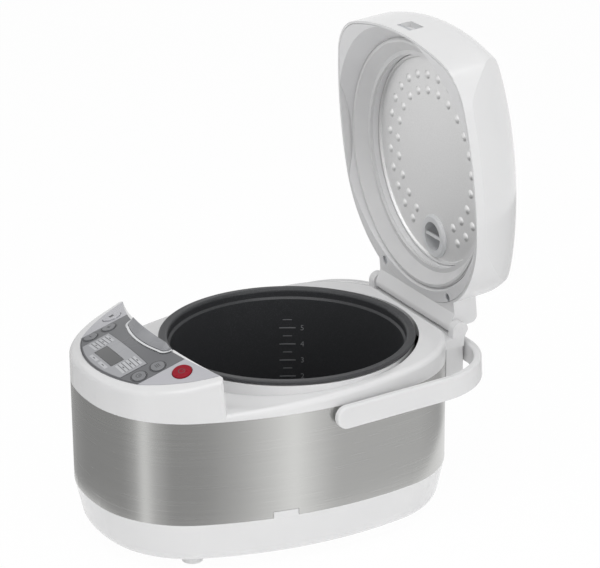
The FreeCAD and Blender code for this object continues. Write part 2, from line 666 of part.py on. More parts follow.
def add_lugs_and_posts(body):
    lug = new_sketch(body, "lug", height="lug_bottom")
    rectangle(lug, "lug_inner", "pivot_y - lug_half", "lug_outer", "pivot_y + lug_half")
    mirrored(body, "lugs", pad(body, "lug_pad", lug, "lug_top - lug_bottom"))
    bore = new_sketch(body, "pivot_bore", "YZ_Plane", height="pivot_inner")
    circle(bore, "pivot_radius + pivot_gap / 2", "pivot_y", "pivot_height")
    mirrored(body, "pivot_bores", pocket(body, "pivot_bore_cut", bore, "arm_outer - pivot_inner",
                                         Reversed=True))
    stems = new_sketch(body, "posts", height="post_bottom")
    for x, y in posts():
        circle(stems, "post_radius", x, y)
    pad(body, "post_pad", stems, "band_top + 3 - post_bottom")
    pilots = new_sketch(body, "pilots", height="post_bottom")
    for x, y in posts():
        circle(pilots, "pilot_hole", x, y)
    pocket(body, "pilot_cut", pilots, "pilot_depth", Reversed=True)


def open_console(body):
    recess = new_sketch(body, "bar_recess", frame=slope_frame("-bar_recess"))
    bar_outline(recess, "bar_gap", "open_rear")
    pocket(body, "bar_recess_cut", recess, Reversed=True)
    slot = new_sketch(body, "latch_slot", "XZ_Plane", height="-slot_front")
    rectangle(slot, "-hook_slot_half", "slot_low", "hook_slot_half", "slot_high")
    pocket(body, "latch_slot_cut", slot, "slot_depth")
    window = new_sketch(body, "display_hole", frame=slope_frame("0"))
    window_outline(window, "window_gap")
    pocket(body, "display_hole_cut", window, "2 * cavity_depth + film_below", SideType="Symmetric")
    for name, (x, y) in {**SMALL_KEYS, **LARGE_KEYS}.items():
        well = new_sketch(body, f"{name}_well", frame=console_spot(x, y, "-key_well"))
        radius = "small_key_radius" if name in SMALL_KEYS else "large_key_radius"
        circle(well, f"{radius} + key_gap")
        pocket(body, f"{name}_well_cut", well, "2 * key_well", Reversed=True)


def make_upper_housing():
    body = new_body("upper_housing")
    shape_outside(body)
    hollow_out(body)
    add_hinge_seat(body)
    add_lugs_and_posts(body)
    open_console(body)


# Console: thin films on the crowned face, display, keys, release bar with bright trim, latch and board

def bar_outline(sketch, grow, rear, rear_radius=None):
    """The release bar's outline grown by grow, back to rear. The front edge and its corners are round."""
    side = f"(bar_half_width + {grow})"
    low = f"(bar_front - {grow})"
    turn = f"(bar_corner + {grow})"
    end = (side, rear) if rear_radius is None else (side, rear, rear_radius)
    path(sketch, (f"-{side}", rear), (f"-{side}", "bar_front + bar_corner", turn),
         ("bar_corner - bar_half_width", low, f"bar_front_radius + {grow}"),
         ("bar_half_width - bar_corner", low, turn), (side, "bar_front + bar_corner"), end)


def window_outline(sketch, grow):
    rectangle(sketch, f"-window_half_width - {grow}", f"window_front - {grow}",
              f"window_half_width + {grow}", f"window_rear + {grow}")


def start_film(name):
    body = new_body(name)
    return body, new_sketch(body, "plan", frame=slope_frame("-film_below"))


def finish_film(body, sketch, low, high):
    """Raise the film's outline and keep the layer of the crowned face between low and high."""
    pad(body, "raised", sketch, "film_height")
    cut_over_crown(body, high)
    cut_under_crown(body, low)


def cut_key_holes(body, keys, radius):
    for name, (x, y) in keys.items():
        hole = new_sketch(body, f"{name}_hole", frame=console_spot(x, y))
        circle(hole, f"{radius} + key_gap")
        pocket(body, f"{name}_hole_cut", hole, "4 * key_well", SideType="Symmetric")


def make_console_films():
    body, plan = start_film("panel_grey")
    path(plan, ("-grey_half_width", "grey_front", "grey_front_radius"), ("grey_half_width", "grey_front"),
         ("grey_half_width", "film_rear", "-film_rear_radius"), ("-grey_half_width", "film_rear"))
    finish_film(body, plan, "0", "film_thick")
    opening = new_sketch(body, "bar_opening", frame=slope_frame("-film_below"))
    bar_outline(opening, "(bar_gap + trim_width + film_gap)", "open_rear")
    pocket(body, "bar_opening_cut", opening, Reversed=True)
    opening = new_sketch(body, "display_opening", frame=slope_frame("-film_below"))
    window_outline(opening, "window_gap")
    pocket(body, "display_opening_cut", opening, Reversed=True)
    cut_key_holes(body, SMALL_KEYS, "small_key_radius")
    for name, sign in (("side_panel_right", 1), ("side_panel_left", -1)):
        body, plan = start_film(name)
        inner = f"{sign} * (grey_half_width + film_gap)"
        outer = f"{sign} * silver_outer"
        path(plan, (inner, "grey_front", f"{sign} * silver_radius"),
             (outer, "silver_rear", f"-{sign} * film_rear_radius"), (inner, "film_rear + film_gap / 4"))
        finish_film(body, plan, "0", "film_thick")
        key = "start_key" if sign > 0 else "cancel_key"
        cut_key_holes(body, {key: LARGE_KEYS[key]}, "large_key_radius")


def make_display():
    body, plan = start_film("display_surround")
    path(plan, ("-surround_half_width", "surround_front", "surround_front_radius"),
         ("surround_half_width", "surround_front"), ("surround_half_width", "surround_rear"),
         ("-surround_half_width", "surround_rear"))
    finish_film(body, plan, "film_thick", "film_thick + surround_thick")
    opening = new_sketch(body, "opening", frame=slope_frame("-film_below"))
    window_outline(opening, "window_gap")
    pocket(body, "opening_cut", opening, Reversed=True)
    body, plan = start_film("display_window")
    window_outline(plan, "0")
    finish_film(body, plan, "film_thick + surround_thick - window_thick", "film_thick + surround_thick")
    body = new_body("control_board")
    plan = new_sketch(body, "plan", frame=slope_frame("-board_depth"))
    path(plan, ("-board_nose_half", "board_nose"), ("board_nose_half", "board_nose"),
         ("board_nose_half", "board_front"), ("board_half", "board_front"), ("board_half", "board_rear"),
         ("-board_half", "board_rear"), ("-board_half", "board_front"), ("-board_nose_half", "board_front"))
    pad(body, "board", plan, "board_thick")
    body = new_body("display_module")
    plan = new_sketch(body, "plan", frame=slope_frame("board_thick - board_depth"))
    rectangle(plan, "-module_half_width", "module_front", "module_half_width", "module_rear")
    pad(body, "module", plan, "module_height")


def make_keys():
    for name, (x, y) in {**SMALL_KEYS, **LARGE_KEYS}.items():
        body = new_body(name, console_spot(x, y))
        plan = new_sketch(body, "plan", height="-key_depth")
        circle(plan, "small_key_radius" if name in SMALL_KEYS else "large_key_radius")
        pad(body, "cap", plan, "key_depth + key_proud")
        round_edges(body, "edge", "key_round", lambda e: e.CenterOfMass.z > 0 and len(e.Vertexes) == 1)


def make_release_bar():
    body = new_body("release_bar")
    plan = new_sketch(body, "plan", frame=slope_frame("-bar_depth"))
    bar_outline(plan, "0", "bar_rear", "-console_wall_radius")
    pad(body, "bar", plan, "bar_depth + block_height / 4")
    cut_over_crown(body, "bar_proud")
    body, plan = start_film("release_trim")
    bar_outline(plan, "(bar_gap + trim_width)", "bar_rear")
    finish_film(body, plan, "0", "trim_thick")
    opening = new_sketch(body, "opening", frame=slope_frame("-film_below"))
    bar_outline(opening, "bar_gap", "open_rear")
    pocket(body, "opening_cut", opening, Reversed=True)


def make_latch():
    body = new_body("latch_hook")
    side = new_sketch(body, "side", "YZ_Plane")
    path(side, ("hook_pivot_y - hook_eye", "hook_pivot_z", "hook_eye"),
         ("hook_pivot_y + hook_eye", "hook_pivot_z"),
         ("hook_pivot_y + hook_stem", "hook_nose_low"), ("hook_nose", "hook_nose_low"),
         ("hook_nose", "hook_nose_low + 1.5"), ("hook_pivot_y + hook_stem + 4", "hook_top"),
         ("hook_pivot_y - hook_stem", "hook_top"))
    pad(body, "lever", side, "2 * hook_half_width", SideType="Symmetric")
    bore = new_sketch(body, "bore", "YZ_Plane")
    circle(bore, "hook_pin", "hook_pivot_y", "hook_pivot_z")
    pocket(body, "bore_cut", bore, SideType="Symmetric")
    round_edges(body, "nose", "0.6", lambda e: abs(edge_spot(e).y - val("hook_nose")) < 0.01
                and abs(edge_spot(e).x) < 0.01)


# Pot and heater

def make_inner_pot():
    body = new_body("inner_pot")
    half = new_sketch(body, "half", "XZ_Plane")
    flat = "pot_radius - pot_round"
    step_low = "rim_height - pot_step_drop - pot_step"
    step_high = "rim_height - pot_step_drop"
    under = "rim_height - flange_thick"
    inside = "pot_radius - pot_wall"
    bead = "flange_radius - flange_thick / 2"
    path(half, ("0", "pot_bottom"), (flat, "pot_bottom", "pot_round"),
         ("pot_radius", "pot_bottom + pot_round"), ("pot_radius", step_low),
         ("pot_radius + pot_step", step_high), ("pot_radius + pot_step", under),
         (bead, under, "flange_thick / 2"), (bead, "rim_height"),
         (f"{inside} + pot_step + pot_lip", "rim_height", "pot_lip"),
         (f"{inside} + pot_step", "rim_height - pot_lip"), (f"{inside} + pot_step", step_high),
         (inside, step_low), (inside, "pot_bottom + pot_round", "pot_wall - pot_round"),
         (flat, "pot_bottom + pot_wall"), ("0", "pot_bottom + pot_wall"))
    revolve(body, "pot", half)


def make_heater():
    body = new_body("heat_shield")
    half = new_sketch(body, "half", "XZ_Plane")
    inner = "shield_outer - shield_thick"
    path(half, ("shield_hole", "shield_floor"), ("shield_foot", "shield_floor"),
         ("shield_outer", "shield_shoulder"), ("shield_outer", "shield_top"), (inner, "shield_top"),
         (inner, "shield_shoulder + shield_thick / 3"),
         ("shield_foot - shield_thick / 2", "shield_floor + shield_thick"),
         ("shield_hole", "shield_floor + shield_thick"))
    revolve(body, "sleeve", half)
    body = new_body("heating_plate")
    half = new_sketch(body, "half", "XZ_Plane")
    path(half, ("plate_hole", "pot_bottom - plate_thick"), ("plate_radius", "pot_bottom - plate_thick"),
         ("plate_radius", "pot_bottom - plate_bevel"), ("plate_radius - plate_bevel", "pot_bottom"),
         ("plate_hole", "pot_bottom"))
    revolve(body, "disc", half)
    leg = new_sketch(body, "leg", height="shield_floor + shield_thick")
    circle(leg, "leg_radius", "0", "leg_ring")
    around(body, "legs", pad(body, "leg_pad", leg, "pot_bottom - plate_thick - shield_floor"), "3")
    body = new_body("centre_sensor")
    half = new_sketch(body, "half", "XZ_Plane")
    top = "pot_bottom - sensor_gap"
    path(half, ("0", "sensor_bottom"), ("sensor_stem", "sensor_bottom"),
         ("sensor_stem", f"{top} - sensor_cap"), ("sensor_radius", f"{top} - sensor_cap"),
         ("sensor_radius", f"{top} - 1"), ("sensor_radius - 1", top), ("0", top))
    revolve(body, "button", half)


# Carrying bail: a flat bow, tilted a little, that hangs on two pins

def make_handle():
    lift = Placement(Vector(0, val("pivot_y"), val("pivot_height")), Rotation(X_AXIS, val("bail_lift")))
    body = new_body("handle", lift)
    bow = new_sketch(body, "bow")
    inner = "arm_outer - arm_thick"
    rear = "bail_reach - pivot_y"
    bend = f"{rear} - bail_corner"
    path(bow, ("arm_outer", "0"), ("arm_outer", bend, "bail_corner"), ("arm_outer - bail_corner", rear),
         ("bail_corner - arm_outer", rear, "bail_corner"), ("-arm_outer", bend), ("-arm_outer", "0"),
         (f"-({inner})", "0"), (f"-({inner})", bend, "arm_thick - bail_corner"),
         ("bail_corner - arm_outer", f"{rear} - arm_thick"),
         ("arm_outer - bail_corner", f"{rear} - arm_thick", "arm_thick - bail_corner"),
         (inner, bend), (inner, "0"))
    pad(body, "bow_pad", bow, "bail_height", SideType="Symmetric")
    end = new_sketch(body, "end", "YZ_Plane", height=inner)
    circle(end, "bail_height / 2")
    mirrored(body, "ends", pad(body, "end_pad", end, "arm_thick"))
    socket = new_sketch(body, "socket", "YZ_Plane", height=inner)
    circle(socket, "pivot_radius + pivot_gap")
    mirrored(body, "sockets", pocket(body, "socket_cut", socket, f"pivot_socket - ({inner})", Reversed=True))
    edge = val("bail_height / 2")
    reach = val("pivot_radius + pivot_gap")

    def long_edge(e):
        spot = edge_spot(e)
        rim = math.hypot(spot.y, spot.z)
        at_end = abs(rim - edge) < 0.01 and abs(abs(spot.x) - val(inner)) > -1
        return (abs(abs(spot.z) - edge) < 0.01 and spot.y > 1 or at_end) and rim > reach + 1

    round_edges(body, "edges", "bail_round", long_edge)


def make_handle_pivots():
    pins = []
    for side, sign in (("right", 1), ("left", -1)):
        shaft = doc.addObject("Part::Cylinder", f"handle_pivot_{side}")
        bind(shaft, "Radius", "pivot_radius")
        bind(shaft, "Height", "pivot_outer - pivot_inner")
        start = Vector(sign * val("pivot_inner"), val("pivot_y"), val("pivot_height"))
        shaft.Placement = Placement(start, Rotation(Y_AXIS, 90 * sign))
        pins.append(shaft)
    group("handle_pivots", pins)


# Lid: outer moulding drawn from its parting plane, with domed top, side facets, neck and catch

def make_lid_shell():
    body = new_body("lid_shell", lid_parting())
    plan = new_sketch(body, "plan")
    plan_outline(plan, LID_PLAN)
    pad(body, "block", plan, "lid_block")
    dome = new_sketch(body, "dome", "XZ_Plane")
    sag = "(dome_radius - sqrt(dome_radius^2 - dome_reach^2))"
    path(dome, ("0", "lid_crown", "-dome_radius"), ("dome_reach", f"lid_crown - {sag}"),
         ("dome_reach", "lid_block + 5"), ("0", "lid_block + 5"))
    groove(body, "dome_cut", dome)
    round_edges(body, "top_round", "lid_round",
                lambda e: on_outline(e, plan.Shape) and edge_spot(e).z > 1)
    facet = new_sketch(body, "facet", "XZ_Plane", height="side_middle")
    axis_line(facet, "lid_half_width - lid_side_radius")
    path(facet, ("lid_half_width", "facet_start", "facet_radius"),
         ("lid_half_width - facet_depth", "facet_end"), ("lid_half_width - facet_depth", "lid_block + 5"),
         ("facet_reach", "lid_block + 5"), ("facet_reach", "facet_start"))
    mirrored(body, "facets", groove(body, "facet_cut", facet, "Axis0"))
    shape_neck(body)
    hollow = []
    for name, inset, height in (
            ("low", "cavity_low", "0"), ("skirt", "cavity_skirt", "skirt_height"),
            ("mid", "cavity_mid", "cavity_mid_height"), ("high", "cavity_high", "cavity_top")):
        section = new_sketch(body, f"cavity_{name}", height=height)
        plan_outline(section, LID_PLAN, inset)
        hollow.append(section)
    loft(body, "SubtractiveLoft", "cavity", hollow)
    finish_lid_shell(body)


def shape_neck(body):
    neck = new_sketch(body, "neck")
    rectangle(neck, "-neck_half", "neck_front", "neck_half", "neck_rear")
    pad(body, "neck_pad", neck, "neck_height")
    round_edges(body, "neck_edge", "neck_round", lambda e: abs(edge_spot(e).y - val("neck_rear")) < 0.01
                and abs(edge_spot(e).z - val("neck_height")) < 0.01)


def finish_lid_shell(body):
    barrel = new_sketch(body, "barrel", "YZ_Plane")
    circle(barrel, "barrel_radius", HINGE_ALONG, HINGE_ABOVE)
    pad(body, "barrel_pad", barrel, "2 * neck_half", SideType="Symmetric")
    bore = new_sketch(body, "pin_bore", "YZ_Plane")
    circle(bore, "pin_radius + pin_gap / 2", HINGE_ALONG, HINGE_ABOVE)
    pocket(body, "pin_bore_cut", bore, SideType="Symmetric")
    catch = new_sketch(body, "catch", "XZ_Plane", height="lid_front + 2")
    rectangle(catch, "-catch_half", "catch_low", "catch_half", "catch_high")
    pocket(body, "catch_cut", catch, "catch_depth + 2")
    seat = new_sketch(body, "cap_seat", height="cap_seat")
    circle(seat, "cap_radius + cap_gap", "0", "vent_y")
    pocket(body, "cap_seat_cut", seat, Reversed=True)
    bore = new_sketch(body, "steam_bore")
    circle(bore, "vent_bore", "0", "vent_y")
    pocket(body, "steam_bore_cut", bore, Reversed=True)


def make_lid_liner():
    body = new_body("lid_liner", lid_closed())
    slope = "((cavity_high - cavity_mid) / (cavity_top - cavity_mid_height))"
    plug = []
    for name, inset, height in (
            ("low", "cavity_low + liner_gap", "0"), ("skirt", "cavity_skirt + liner_gap", "skirt_height"),
            ("mid", "cavity_mid + liner_gap", "cavity_mid_height"),
            ("high", f"cavity_mid + liner_gap + (liner_top - cavity_mid_height) * {slope}", "liner_top")):
        raised = tilted("parting_height").multiply(Placement(Vector(0, 0, val(height)), Rotation()))
        section = new_sketch(body, name, frame=raised)
        plan_outline(section, LID_PLAN, inset)
        plug.append(section)
    loft(body, "AdditiveLoft", "plug", plug)
    bowl = new_sketch(body, "bowl", "XZ_Plane")
    face = "ring_plane + plate_step + sheet"
    path(bowl, ("0", "band_top"), ("bowl_radius", "band_top"), ("ring_radius", "ring_plane"),
         ("plate_recess", "ring_plane"), ("plate_recess", face), ("0", face))
    groove(body, "bowl_cut", bowl)
    for name, radius, depth in (("screw_hole", "lid_screw_hole", "lid_screw_sunk"),
                                ("screw_pilot", "lid_screw_pilot", "lid_screw_sunk + lid_screw_length + 1")):
        holes = new_sketch(body, name, frame=tilted("parting_height"))
        for side in ("", "-"):
            circle(holes, radius, f"{side}lid_screw_x", "lid_screw_y")
        pocket(body, f"{name}_cut", holes, depth, Reversed=True)
    catch = new_sketch(body, "catch_notch", "YZ_Plane")
    rectangle(catch, "-lid_front - catch_depth", "notch_low", "notch_rear", "notch_high")
    pocket(body, "catch_notch_cut", catch, "2 * catch_half + 2", SideType="Symmetric")
    bore = new_sketch(body, "steam_bore", height="ring_plane")
    circle(bore, "vent_bore", "0", "vent_y")
    pocket(body, "steam_bore_cut", bore, Reversed=True)


def make_lid_gasket():
    body = new_body("lid_gasket", lid_closed())
    half = new_sketch(body, "half", "XZ_Plane")
    under = "ring_plane - gasket_flat"
    path(half, ("gasket_inner", "ring_plane"), ("gasket_inner", under), ("lip_root", under),
         ("lip_tip", "gasket_tip"), ("lip_tip + lip_tip_width", "gasket_tip"),
         ("lip_root + lip_thick", under), ("gasket_outer", under), ("gasket_outer", "ring_plane"))
    revolve(body, "ring", half)


def make_inner_lid_plate():
    body = new_body("inner_lid_plate", lid_closed())
    half = new_sketch(body, "half", "XZ_Plane")
    face = "ring_plane + plate_step"
    path(half, ("0", face), ("plate_flat", face), ("plate_flat + sheet", f"{face} - plate_rim"),
         ("plate_edge", f"{face} - plate_rim"), ("plate_edge", f"{face} - plate_rim + sheet"),
         ("plate_flat + 2 * sheet", f"{face} - plate_rim + sheet"), ("plate_flat + sheet", f"{face} + sheet"),
         ("0", f"{face} + sheet"))
    revolve(body, "sheet", half)
    ball = "((bump_radius^2 + bump_rise^2) / (2 * bump_rise))"
    for ring, count in (("outer_ring", "outer_bumps"), ("inner_ring", "inner_bumps")):
        x = f"({ring} * cos(bump_start))"
        bump = new_sketch(body, f"{ring}_bump", "XZ_Plane", height=f"-{ring} * sin(bump_start)")
        axis_line(bump, x)
        path(bump, (x, f"{face} + sheet / 2"), (x, f"{face} - bump_rise", ball), (f"{x} + bump_radius", face),
             (f"{x} + bump_radius", f"{face} + sheet / 2"))
        around(body, f"{ring}_bumps", revolve(body, f"{ring}_dome", bump, "Axis0"), count, "bump_sweep")
    bore = new_sketch(body, "steam_bore", height=face)
    circle(bore, "vent_bore", "0", "vent_y")
    pocket(body, "steam_bore_cut", bore, SideType="Symmetric")


def make_steam_pieces():
    body = new_body("steam_vent", lid_closed())
    half = new_sketch(body, "half", "XZ_Plane", height="-vent_y")
    face = "ring_plane + plate_step"
    path(half, ("vent_inner", f"{face} - vent_rise"), ("vent_radius - 2", f"{face} - vent_rise"),
         ("vent_radius", f"{face} - vent_rise + 2"), ("vent_radius", face), ("vent_sleeve", face),
         ("vent_sleeve", "vent_sleeve_top"), ("vent_inner", "vent_sleeve_top"))
    revolve(body, "ring", half)
    bridge = new_sketch(body, "bridge", height=f"{face} - vent_rise / 2")
    rectangle(bridge, "-vent_inner - 0.5", "vent_y - 1.5", "vent_inner + 0.5", "vent_y + 1.5")
    pad(body, "bridge_pad", bridge, "vent_rise / 2")
    body = new_body("steam_cap", lid_parting())
    half = new_sketch(body, "half", "XZ_Plane", height="-vent_y")
    path(half, ("0", "cap_seat - cap_stem_length"), ("cap_stem", "cap_seat - cap_stem_length"),
         ("cap_stem", "cap_seat"), ("cap_radius", "cap_seat"),
         ("cap_radius", "cap_seat + cap_height - cap_round", "cap_round"),
         ("cap_radius - cap_round", "cap_seat + cap_height"), ("0", "cap_seat + cap_height"))
    revolve(body, "cap", half)


def make_lid_fittings():
    body = new_body("lid_catch", lid_parting())
    bar = new_sketch(body, "bar", height="catch_low")
    rectangle(bar, "catch_gap - catch_half", "catch_gap * 3 - lid_front", "catch_half - catch_gap",
              "catch_depth - lid_front")
    pad(body, "bar_pad", bar, "catch_bar")
    group("lid_screws", [
        screw(f"lid_screw_{side}", "lid_screw_head", "screw_head_height", "lid_screw_shank",
              "lid_screw_length", (f"{sign} * lid_screw_x", "lid_screw_y", "lid_screw_sunk"))
        for side, sign in (("right", 1), ("left", -1))], lid_parting())
    pin_body = doc.addObject("Part::Cylinder", "hinge_pin")
    bind(pin_body, "Radius", "pin_radius")
    bind(pin_body, "Height", "2 * pin_half")
    pin_body.Placement = Placement(Vector(-val("pin_half"), val("hinge_y"), val("hinge_z")),
                                   Rotation(Y_AXIS, 90))
    nodes.append(pin_body)


# Rear pieces: drip cup under the hinge, mains inlet with its three prongs

def make_condensate_cup():
    body = new_body("condensate_cup")
    plan = new_sketch(body, "plan", height="cup_bottom")
    rectangle(plan, "-cup_half", "cup_front", "cup_half", "cup_rear")
    pad(body, "block", plan, "cup_top - cup_bottom")
    back = new_sketch(body, "back", height="cup_bottom")
    plan_outline(back, BODY_PLAN, "-cup_gap")
    pocket(body, "back_cut", back, Reversed=True)
    round_edges(body, "corner", "cup_round", lambda e: edge_spot(e).y > val("cup_rear") - 0.01
                and edge_spot(e).z < val("cup_top") - 1)
    hollow = new_sketch(body, "hollow", height="cup_bottom + cup_wall")
    side = "(cup_half - cup_wall)"
    end = f"(cup_hollow_mid - cup_hollow_radius + sqrt(cup_hollow_radius^2 - {side}^2))"
    path(hollow, (f"-{side}", end, "-cup_hollow_radius"), (side, end), (side, "cup_rear - cup_wall"),
         (f"-{side}", "cup_rear - cup_wall"))
    pocket(body, "hollow_cut", hollow, Reversed=True)


def make_inlet():
    body = new_body("inlet_socket")
    back = "-inlet_seat - inlet_flange"
    flange = new_sketch(body, "flange", "XZ_Plane", height="-inlet_seat")
    rectangle(flange, "-inlet_half", "inlet_z - inlet_half_height", "inlet_half",
              "inlet_z + inlet_half_height")
    pad(body, "flange_pad", flange, "inlet_flange", Reversed=True)
    round_edges(body, "corners", "inlet_round", lambda e: abs(e.tangentAt(e.FirstParameter).y) > 0.9)
    box = new_sketch(body, "box", "XZ_Plane", height="-inlet_inner")
    rectangle(box, "-inlet_body", "inlet_z - inlet_body_height", "inlet_body", "inlet_z + inlet_body_height")
    pad(body, "box_pad", box, "inlet_seat - inlet_inner", Reversed=True)
    mouth = new_sketch(body, "mouth", "XZ_Plane", height=back)
    rectangle(mouth, "-mouth_half", "inlet_z - mouth_height", "mouth_half", "inlet_z + mouth_height")
    pocket(body, "mouth_cut", mouth, "mouth_depth", Reversed=True)
    prongs = []
    floor = "inlet_seat + inlet_flange - mouth_depth"
    for name, x, z in (("live", "prong_spacing", "-prong_offset"),
                       ("neutral", "-prong_spacing", "-prong_offset"), ("earth", "0", "prong_offset")):
        prong = doc.addObject("Part::Box", f"prong_{name}")
        bind(prong, "Length", "prong_thick")
        bind(prong, "Width", "prong_length")
        bind(prong, "Height", "prong_width")
        bind(prong, "Placement.Base.x", f"{x} - prong_thick / 2")
        bind(prong, "Placement.Base.y", floor)
        bind(prong, "Placement.Base.z", f"inlet_z + {z} - prong_width / 2")
        prongs.append(prong)
    group("inlet_pins", prongs)


def write_parts():
    doc.recompute()
    for thing in doc.Objects:
        if "Invalid" in thing.State or "Error" in thing.State:
            raise RuntimeError(f"{thing.Name} did not build")
    os.makedirs("parts", exist_ok=True)
    for node in nodes:
        if node.Shape.isNull() or not node.Shape.isValid():
            raise RuntimeError(f"{node.Label} is not a valid solid")
        node.Shape.exportStep(f"parts/{node.Label}.step")


fill_sheet()
make_base_pan()
make_feet()
make_base_screws()
make_steel_band()
make_upper_housing()
make_console_films()
make_display()
make_keys()
make_release_bar()
make_latch()
make_inner_pot()
make_heater()
make_handle()
make_handle_pivots()
make_lid_shell()
make_lid_liner()
make_lid_gasket()
make_inner_lid_plate()
make_steam_pieces()
make_lid_fittings()
make_condensate_cup()
make_inlet()
write_parts()
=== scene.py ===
import bpy
import math
from mathutils import Euler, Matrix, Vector


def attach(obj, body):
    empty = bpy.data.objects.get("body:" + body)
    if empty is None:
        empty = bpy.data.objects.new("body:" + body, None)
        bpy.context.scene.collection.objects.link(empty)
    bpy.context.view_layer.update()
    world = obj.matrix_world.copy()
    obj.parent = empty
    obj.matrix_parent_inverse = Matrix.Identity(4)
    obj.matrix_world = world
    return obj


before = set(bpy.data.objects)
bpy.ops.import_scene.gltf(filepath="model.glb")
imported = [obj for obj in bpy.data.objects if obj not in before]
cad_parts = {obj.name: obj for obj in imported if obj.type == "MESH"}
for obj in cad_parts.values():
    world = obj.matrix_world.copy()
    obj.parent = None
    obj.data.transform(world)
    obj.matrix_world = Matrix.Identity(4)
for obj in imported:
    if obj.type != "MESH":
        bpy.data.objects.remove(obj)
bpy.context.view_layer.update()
scene = bpy.context.scene
scene.view_settings.view_transform = "Standard"


# Camera: a long lens, high and to the right of the console, as in the photograph.
camera_spot = Vector((1.9879, -1.0455, 1.0777))
camera_aim = Vector((-0.03658, 0.03373, 0.20083))
camera_roll = math.radians(-0.43)
camera = bpy.data.objects.new("camera", bpy.data.cameras.new("camera"))
scene.collection.objects.link(camera)
camera.data.lens = 156
camera.data.sensor_width = 36
camera.data.sensor_fit = "HORIZONTAL"
camera.location = camera_spot
look = (camera_aim - camera_spot).to_track_quat("-Z", "Y").to_matrix()
camera.rotation_euler = (look @ Euler((0, 0, camera_roll)).to_matrix()).to_euler()
scene.camera = camera


# Studio: a seamless pale floor, lit faintly from below, and soft lamps. The floor shows white to the
# camera but keeps a part of the shadow that falls on it.
def linear(code):
    """An sRGB hex colour as linear red, green, blue, alpha."""
    parts = [int(code[i:i + 2], 16) / 255 for i in (0, 2, 4)]
    return tuple(p / 12.92 if p <= 0.04045 else ((p + 0.055) / 1.055) ** 2.4 for p in parts) + (1.0,)


def add(tree, kind, sockets=None, **settings):
    """Adds one node; a socket gets a value, or a link when it is given another node's output."""
    node = tree.nodes.new(kind)
    for name, value in settings.items():
        setattr(node, name, value)
    for name, value in (sockets or {}).items():
        if isinstance(value, bpy.types.NodeSocket):
            tree.links.new(value, node.inputs[name])
        else:
            node.inputs[name].default_value = value
    return node


def new_tree(name):
    """An empty node material and its tree."""
    finish = bpy.data.materials.new(name)
    finish.use_nodes = True
    finish.node_tree.nodes.clear()
    return finish, finish.node_tree


def piece(name, points, faces, finish, smooth=True):
    """A mesh object from points in metres in the shared frame, with one finish."""
    mesh = bpy.data.meshes.new(name)
    mesh.from_pydata(points, [], faces)
    mesh.validate()
    mesh.polygons.foreach_set("use_smooth", [smooth] * len(mesh.polygons))
    mesh.materials.append(finish)
    made = bpy.data.objects.new(name, mesh)
    scene.collection.objects.link(made)
    return made


def seen_directly(tree):
    """1 for rays that look straight, by reflection or through a pane at what they meet."""
    ray = add(tree, "ShaderNodeLightPath")
    either = add(tree, "ShaderNodeMath",
                 {0: ray.outputs["Is Camera Ray"], 1: ray.outputs["Is Glossy Ray"]}, operation="MAXIMUM")
    return add(tree, "ShaderNodeMath", {0: either.outputs[0], 1: ray.outputs["Is Transmission Ray"]},
               operation="MAXIMUM").outputs[0]


floor_half, floor_glow, floor_direct = 6.0, 0.16, 0.96
paper, tree = new_tree("seamless_paper")
matt = add(tree, "ShaderNodeBsdfDiffuse", {"Color": linear("F8F8F8")})
glow = add(tree, "ShaderNodeEmission", {"Color": (1, 1, 1, 1), "Strength": 1.0})
share = add(tree, "ShaderNodeMath", {0: seen_directly(tree), 1: floor_direct}, operation="MULTIPLY")
under = add(tree, "ShaderNodeEmission", {"Color": (1, 1, 1, 1), "Strength": floor_glow})
table = add(tree, "ShaderNodeAddShader", {0: matt.outputs[0], 1: under.outputs[0]})
both = add(tree, "ShaderNodeMixShader", {0: share.outputs[0], 1: table.outputs[0], 2: glow.outputs[0]})
add(tree, "ShaderNodeOutputMaterial", {"Surface": both.outputs[0]})
floor = piece("floor", [(-floor_half, -floor_half, 0), (floor_half, -floor_half, 0),
                        (floor_half, floor_half, 0), (-floor_half, floor_half, 0)], [(0, 1, 2, 3)], paper)

world = bpy.data.worlds.new("studio")
scene.world = world
world.use_nodes = True
tree = world.node_tree
tree.nodes.clear()
ambient_level = 0.46
ambient = add(tree, "ShaderNodeBackground", {"Color": linear("F6F6F6"), "Strength": ambient_level})
white = add(tree, "ShaderNodeBackground", {"Color": (1, 1, 1, 1), "Strength": 1.0})
sky = add(tree, "ShaderNodeMixShader",
          {0: seen_directly(tree), 1: ambient.outputs[0], 2: white.outputs[0]})
add(tree, "ShaderNodeOutputWorld", {"Surface": sky.outputs[0]})

# A low light tent of grey cloth stands round the body for its reflections alone. Narrow and broad
# bright strips in it do what flags and strip lamps do round bright metal.
tent_x, tent_y, tent_low, tent_top, tent_steps = 0.21, 0.285, 0.0005, 0.26, 96
cloth, tree = new_tree("tent_cloth")
spot = add(tree, "ShaderNodeTexCoord")
split = add(tree, "ShaderNodeSeparateXYZ", {0: spot.outputs["Object"]})
turn = add(tree, "ShaderNodeMath", {0: split.outputs[1], 1: split.outputs[0]}, operation="ARCTAN2")
share = add(tree, "ShaderNodeMapRange", {0: turn.outputs[0], 1: -math.pi, 2: math.pi})
strips = add(tree, "ShaderNodeValToRGB", {0: share.outputs[0]})
